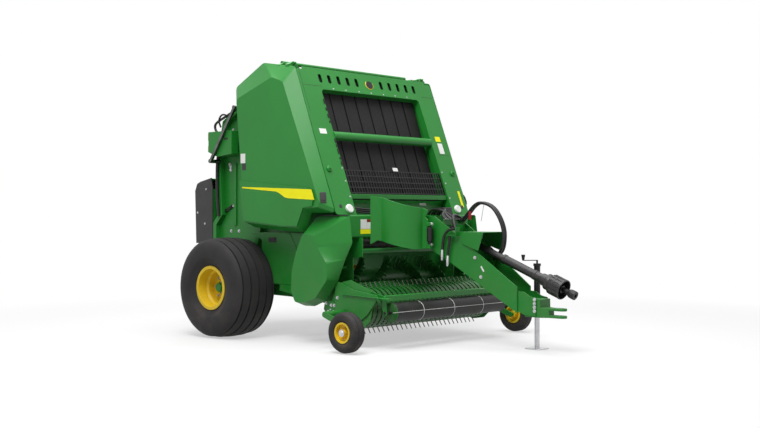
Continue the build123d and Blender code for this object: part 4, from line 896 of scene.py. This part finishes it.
def dressShield(v, word, side):
    body = "shield_" + word
    addCutPlate("stripe_" + word, [at(side * v["stripeX"], *place) for place in v["stripe"]],
                rightWay * side * v["thick"], body, "rim_yellow", material=stickerYellow)
    addTable(v["plates"], body, at, sideWays(side), word, side)
    x, y, z = v["latchOut"]
    out = Vector((side * x, y, z)).normalized()
    across = out.cross(zenith).normalized()
    x, a, z = v["latch"]
    base = at(side * x, a, z)
    wide, narrow = v["latchSizes"]
    addPlates("latch_" + word, (across, out.cross(across), out),
              [(base, wide), (base + out * wide[2], narrow)], body, "black_plastic", bevel=0.003)
    # the black line of painted shade along the lower shield's top
    addPipe("shield_shade_line_" + word, [(side * v["shadeLineX"], *place) for place in v["shadeLine"]],
            v["shadeLineSize"], "frame", "black_plastic")


panelDetail = {
    "pressing": ((0.3, 1.095), (0.69, 1.1), (0.745, 1.085), (0.835, 0.935), (0.835, 0.56),
                 (0.3, 0.56)),
    "x": 0.906, "proud": 0.006, "taper": 0.975,
    "plates": {"panel_handle_": {"slot": "black_plastic", "bevel": 0.0012, "spots": (
        (0.912, 0.474, 1.018, 0.125, 0.052, 0.003), (0.912, 0.474, 1.03, 0.075, 0.0156, 0.01))}},
}


def dressPanel(v, word, side):
    bm = bmesh.new()
    top = extruded(bm, [at(side * v["x"], *place) for place in v["pressing"]],
                   rightWay * side * v["proud"])
    centre = sum((vert.co for vert in top), Vector()) / len(top)
    bmesh.ops.scale(bm, verts=top, vec=(1, v["taper"], v["taper"]),
                    space=Matrix.Translation(-centre))
    finishPiece("panel_pressing_" + word, bm, "frame", "shield_green", bevel=0.004, sharp=20,
                recalc=True)
    addTable(v["plates"], "frame", at, sideWays(side), word, side)


print("pickup and rotor")
# bands a little proud at the joints of the roller's segments, and a line along its front; the white
# of both is painted highlight of the roller's edges
rollerDetail = {"rings": (-0.5, 0.0, 0.5), "ringWide": 0.007, "ringProud": 0.0008,
                "highlightLineWide": 0.0045, "turn": 0.1,
                "guardX": 0.847, "guard": ((0.0, 0.092), (0.001, 0.094), (0.004, 0.094),
                                           (0.005, 0.092))}


def dressRoller(v):
    low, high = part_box("baffle_roller")
    centre, radius, half = (low + high) / 2, (high.z - low.z) / 2, (high.x - low.x) / 2
    body = bodyOf["baffle_roller"]
    wide, foot, top = v["ringWide"] / 2, radius - 0.001, radius + v["ringProud"]
    # proud bands at the segment joints, white as painted highlight
    for n, share in enumerate(v["rings"]):
        ring = turned(((-wide, foot), (-wide, top), (wide, top), (wide, foot)),
                      centre + rightWay * share * half, 1, 48)
        finishPiece(f"roller_band_highlight_{n}", ring, body, "bright_steel", material=stickerWhite,
                    recalc=True)
    # white strip along the roller: painted highlight
    out = Vector((0, -math.cos(v["turn"]), math.sin(v["turn"])))
    addPlates("roller_highlight_line", (rightWay, out.cross(rightWay), out),
              [(centre + out * (radius - 0.0012), (half * 1.96, v["highlightLineWide"], 0.002))], body,
              "bright_steel", stickerWhite, bevel=0.0)
    for word, side in bothSides:
        place = Vector((side * v["guardX"], centre.y, centre.z))
        # the roller's end discs take the darker green of painted shade
        finishPiece("roller_guard_" + word, lathe(v["guard"], place, (side, 0, 0), 40),
                    bodyOf["baffle_frame"], "shield_green", material=finishes["shade_painted_green"])


dressRoller(rollerDetail)

rotorDetail = {
    # a finger's outline ahead of and above the drum's centre; one between each two of the solid's
    "hook": ((-0.01, 0.098), (0.044, 0.1), (0.054, 0.15), (0.046, 0.192), (0.02, 0.226),
             (0.0, 0.23), (0.026, 0.19), (0.024, 0.15), (0.004, 0.112)),
    "pitch": 0.066, "count": 22, "arms": 3, "turn": 21.0, "thick": 0.005,
}


def dressRotor(v):
    centre = nodeCentre("feed_rotor")
    bm = bmesh.new()
    for n in range(v["count"]):
        place = n - (v["count"] - 1) / 2
        for arm in range(v["arms"]):
            turn = Matrix.Rotation(math.radians(abs(place) * v["turn"] + 360 / v["arms"] * arm),
                                   3, "X")
            start = Vector((place * v["pitch"] - v["thick"] / 2, centre.y, centre.z))
            extruded(bm, [start + turn @ Vector((0, p, q)) for p, q in v["hook"]],
                     rightWay * v["thick"])
    # the fingers take the darker green of painted shade
    finishPiece("rotor_fingers", bm, bodyOf["feed_rotor"], "shield_green", recalc=True,
                material=finishes["shade_painted_green"])


dressRotor(rotorDetail)

frontDetail = {
    # upright cylinder between gusset and tongue: its foot, its height and its profile
    "ram": (-0.262, 2.052, 0.985), "ramHigh": 0.2,
    "ramProfile": ((0.0, 0.017), (0.03, 0.017), (0.031, 0.026), (0.036, 0.03), (0.16, 0.03),
                   (0.165, 0.024), (0.172, 0.024), (0.173, 0.014), (0.2, 0.014)),
    # distance ahead of the pickup's bolts, of the corners of its bracket, and their heights
    "gaugeBolts": ((0.976, 1.482, 0.472), (0.976, 1.44, 0.395), (0.962, 1.381, 0.352)),
    "bracketX": 0.962, "bracketThick": 0.006,
    "bracket": ((1.3, 0.44), (1.42, 0.43), (1.48, 0.36), (1.44, 0.3), (1.33, 0.29),
                (1.285, 0.35)),
    "bracketBolts": ((1.32, 0.412), (1.39, 0.395), (1.35, 0.33), (1.42, 0.33)),
    "flange": ((1.556, 0.515), (2.163, 0.494)), "flangeX": 0.972, "flangeWide": 0.05,
    "flangeThick": 0.006,
}


def dressRam(v):
    x, a, z = v["ram"]
    top = z + v["ramHigh"]
    finishPiece("ram", lathe(v["ramProfile"], at(x, a, z), zenith, 28), "frame", "black_paint")
    addPlates("ram_lugs", frontWays, [(at(x, a - 0.028, z - 0.02), (0.05, 0.04, 0.05)),
                                      (at(x, a - 0.028, top), (0.05, 0.036, 0.05))], "frame",
              "shield_green", bevel=0.003)
    addBolts("ram_pins", [(at(x, a + 0.026, top + 0.002), towWay),
                          (at(x, a + 0.026, z - 0.002), towWay)], 0.011, 0.012, "frame")


def dressPickup(v, word, side):
    out = rightWay * side
    addCutPlate("lift_bracket_" + word, [at(side * v["bracketX"], *place)
                                         for place in v["bracket"]],
                out * v["bracketThick"], "pickup", "shield_green", bevel=0.0015)
    heads = [(v["bracketX"] + v["bracketThick"], a, z) for a, z in v["bracketBolts"]]
    addBolts("pickup_bolts_" + word, [(at(side * x, a, z), out)
                                      for x, a, z in (*v["gaugeBolts"], *heads)],
             0.011, 0.011, "pickup")
    rear, front = (at(side * v["flangeX"], *place) for place in v["flange"])
    way = (front - rear).normalized()
    addPlates("end_flange_" + word, (way, out, way.cross(out) * -side),
              [((rear + front) / 2, ((front - rear).length, v["flangeWide"], v["flangeThick"]))],
              "pickup", "shield_green", bevel=0.0015)


dressRam(frontDetail)

print("driveline")
driveline = {
    # the pivot under the gearbox, the fall of the line, and distance along it and radius
    "pivot": (0.0, 2.05, 1.136), "fall": 21.6,
    "sleeve": ((0.76, 0.0385), (0.76, 0.047), (0.785, 0.047), (0.79, 0.043), (1.13, 0.043),
               (1.135, 0.047), (1.165, 0.047), (1.17, 0.043), (1.215, 0.044), (1.24, 0.056),
               (1.292, 0.06), (1.296, 0.075), (1.3, 0.077), (1.34, 0.077), (1.344, 0.075),
               (1.35, 0.09), (1.356, 0.093), (1.398, 0.094), (1.401, 0.097), (1.409, 0.097),
               (1.412, 0.094), (1.468, 0.094), (1.472, 0.0975), (1.488, 0.0975),
               (1.492, 0.095), (1.492, 0.088), (1.44, 0.084), (1.4, 0.08), (1.398, 0.0385)),
    "yoke": ((1.236, 0.03), (1.44, 0.03), (1.444, 0.036), (1.474, 0.036), (1.478, 0.024),
             (1.52, 0.024), (1.545, 0.025), (1.552, 0.034), (1.566, 0.04), (1.59, 0.042),
             (1.61, 0.042), (1.6235, 0.041), (1.624, 0.03), (1.6235, 0.0175),
             (1.56, 0.0175)),
    "ribs": 16, "ribSize": (0.05, 0.01, 0.0045), "ribSpots": ((1.379, 0.0915), (1.44, 0.0915)),
}


def dressDriveline(v):
    fall = math.radians(v["fall"])
    along = Vector((0, -math.cos(fall), -math.sin(fall)))
    pivot = at(*v["pivot"])
    for name, finish in (("sleeve", "black_plastic"), ("yoke", "black_paint")):
        node = "drive_" + name
        finishPiece(node + "_turned", lathe(v[name], pivot, along, 48), bodyOf[node],
                    slotOf[node], replaced=(node,), material=finishes[finish], sharp=28)
    bm = bmesh.new()
    down = along.cross(rightWay)
    for n in range(v["ribs"]):
        turn = math.tau * (n + 0.5) / v["ribs"]
        out = rightWay * math.cos(turn) + down * math.sin(turn)
        for distance, radius in v["ribSpots"]:
            slab(bm, pivot + along * distance + out * radius, (along, out.cross(along), out),
                 v["ribSize"])
    finishPiece("bell_ribs", bm, bodyOf["drive_sleeve"], "black_plastic", bevel=0.001,
                material=finishes["tyre_rubber"], recalc=True)


dressDriveline(driveline)

print("gate and net box")
gateDetail = {
    # size of each line and x, distance ahead and height of its points
    "lines": {
        "edgeLine": (0.019, (
            (0.862, -0.462, 1.93), (0.865, -0.478, 1.86), (0.865, -0.482, 1.7),
            (0.865, -0.478, 1.5), (0.862, -0.468, 1.35), (0.852, -0.462, 1.26))),
        "topLine": (0.014, (
            (0.885, -0.06, 2.43), (0.885, -0.15, 2.402), (0.885, -0.3, 2.345),
            (0.885, -0.43, 2.3), (0.88, -0.5, 2.265), (0.875, -0.505, 2.215),
            (0.872, -0.48, 2.185))),
        "loop": (0.01, (
            (0.9, -0.28, 2.35), (0.905, -0.33, 2.372), (0.905, -0.39, 2.34),
            (0.895, -0.42, 2.285), (0.88, -0.4, 2.23))),
        "low_line_0": (0.007, (
            (0.8, -0.3, 1.385), (0.806, -0.36, 1.35), (0.806, -0.42, 1.33),
            (0.8, -0.455, 1.33))),
        "low_line_1": (0.007, (
            (0.8, -0.3, 1.365), (0.806, -0.37, 1.325), (0.806, -0.43, 1.305),
            (0.8, -0.46, 1.3))),
    },
    "bolts": [(0.79, a, z) for a, z in (
        (-0.354, 1.828), (-0.342, 1.805), (-0.34, 1.768), (-0.3, 1.372), (-0.3, 2.2),
        (-0.1, 2.2), (-0.2, 1.1), (-0.33, 1.1))],
    "plates": {"box_slot_": {"slot": "black_plastic", "bevel": 0,
                             "spots": ((0.95, -0.229, 2.096, 0.06, 0.022, 0.0012),)},
               "gate_rib_": {"slot": "shield_green", "bevel": 0.005,
                             "spots": ((0.79, -0.25, 1.5, 0.03, 0.68, 0.018),)}},
    "endBolts": ((0.85, -0.712, 1.178), (0.85, -0.69, 1.56), (0.85, -0.84, 1.3)),
}


def dressGate(v, word, side):
    for name, (size, points) in v["lines"].items():
        addPipe(f"gate_{name}_{word}", mirrored(points, side), size, "gate")
    out = rightWay * side
    for name, key, radius, height, body in (
            ("gate_bolts_", "bolts", 0.012, 0.01, "gate"),
            ("cover_end_bolts_", "endBolts", 0.008, 0.007, bodyOf["net_ends"])):
        addBolts(name + word, [(at(*place), out) for place in mirrored(v[key], side)], radius,
                 height, body)
    addTable(v["plates"], "gate", at, sideWays(side), word, side)


for word, side in bothSides:
    dressShield(shieldDetail, word, side)
    dressPanel(panelDetail, word, side)
    dressPickup(frontDetail, word, side)
    dressGate(gateDetail, word, side)

backDetail = {
    # x and height from the middle of the cover's back, width, height and finish
    "labels": ((-0.52, 0.06, 0.11, 0.07, 0), (-0.4, 0.06, 0.06, 0.07, 1),
               (0.5, 0.06, 0.075, 0.1, 0)),
    "reflectors": ((-0.72, -0.075), (0.72, -0.075)), "reflectorSize": (0.15, 0.045, 0.004),
}


def dressBack(v):
    low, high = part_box("net_cover")
    back, middle = high.y, (low.z + high.z) / 2
    backWays = (-rightWay, zenith, -towWay)
    addPlates("cover_labels", backWays,
              [(Vector((x, back, middle + lift)), (width, height, 0.0012), index)
               for x, lift, width, height, index in v["labels"]], "net_lid", "white_lens",
              [stickerWhite, stickerYellow], bevel=0.0)
    addPlates("cover_reflectors", backWays, [(Vector((x, back, middle + lift)), v["reflectorSize"])
                                             for x, lift in v["reflectors"]], "net_lid", "red_lens")


dressBack(backDetail)

print("floor and light")
scene = bpy.context.scene
scene.view_settings.view_transform = "Standard"
white = (1, 1, 1, 1)
studio = {"ambient": 0.25, "floorShade": 0.4, "floorLift": 0.49, "fadeFrom": 3.8, "fadeTo": 6.8}


def seenDirectly(tree):
    # 1 for rays that show the background itself: camera, mirror-like and clear ones
    path = tree.nodes.new("ShaderNodeLightPath")
    seen = mathNode(tree, "MAXIMUM", path.outputs["Is Camera Ray"], path.outputs["Is Glossy Ray"])
    return mathNode(tree, "MAXIMUM", seen, path.outputs["Is Transmission Ray"])


def mixShaders(tree, mask, first, second, end):
    mix = tree.nodes.new("ShaderNodeMixShader")
    for socket, source in zip(mix.inputs, (mask, first.outputs[0], second.outputs[0])):
        tree.links.new(source, socket)
    tree.links.new(mix.outputs[0], tree.nodes[end].inputs[0])


def addWorld(v):
    world = bpy.data.worlds.new("studio")
    scene.world = world
    world.use_nodes = True
    tree = world.node_tree
    soft = tree.nodes["Background"]
    soft.inputs["Strength"].default_value = v["ambient"]
    soft.inputs["Color"].default_value = white
    bright = addNode(tree, "ShaderNodeBackground", Color=white)
    mixShaders(tree, seenDirectly(tree), soft, bright, "World Output")


def addFloor(v):
    bm = bmesh.new()
    bmesh.ops.create_grid(bm, x_segments=1, y_segments=1, size=60)
    mesh = bpy.data.meshes.new("floor")
    bm.to_mesh(mesh)
    bm.free()
    floor = linked(bpy.data.objects.new("floor", mesh))
    material, tree, shader, place = startMaterial("floor", {"gloss": 0.0})
    for label, value in (("Base Color", (*[v["floorShade"]] * 3, 1)), ("Roughness", 0.9),
                         ("Emission Color", white)):
        shader.inputs[label].default_value = value
    seen = seenDirectly(tree)
    tree.links.new(times(tree, seen, v["floorLift"]), shader.inputs["Emission Strength"])
    distance = addNode(tree, "ShaderNodeVectorMath", {"operation": "LENGTH"})
    tree.links.new(place, distance.inputs[0])
    far = ramped(tree, distance.outputs["Value"], v["fadeFrom"], v["fadeTo"])
    glow = addNode(tree, "ShaderNodeEmission", Color=white, Strength=1.0)
    mixShaders(tree, times(tree, seen, far), shader, glow, "Material Output")
    mesh.materials.append(material)


lamps = {
    "key": {"place": (-5.6, -2.6, 8.2), "size": 4.0, "power": 590, "aim": (0, -0.3, 1.4)},
    "top": {"place": (0.0, 0.0, 9.0), "size": 9.0, "power": 760, "aim": (0, 0, 0)},
    "back": {"place": (6.0, 8.0, 6.0), "size": 6.0, "power": 300, "aim": (0, 0, 1.0)},
}


def addLamp(name, v):
    data = bpy.data.lights.new(name, "AREA")
    data.size = v["size"]
    data.energy = v["power"]
    lamp = linked(bpy.data.objects.new(name, data))
    lamp.location = v["place"]
    aim = Vector(v["aim"]) - Vector(v["place"])
    lamp.rotation_euler = aim.to_track_quat("-Z", "Y").to_euler()


addWorld(studio)
addFloor(studio)
for name, v in lamps.items():
    addLamp(name, v)
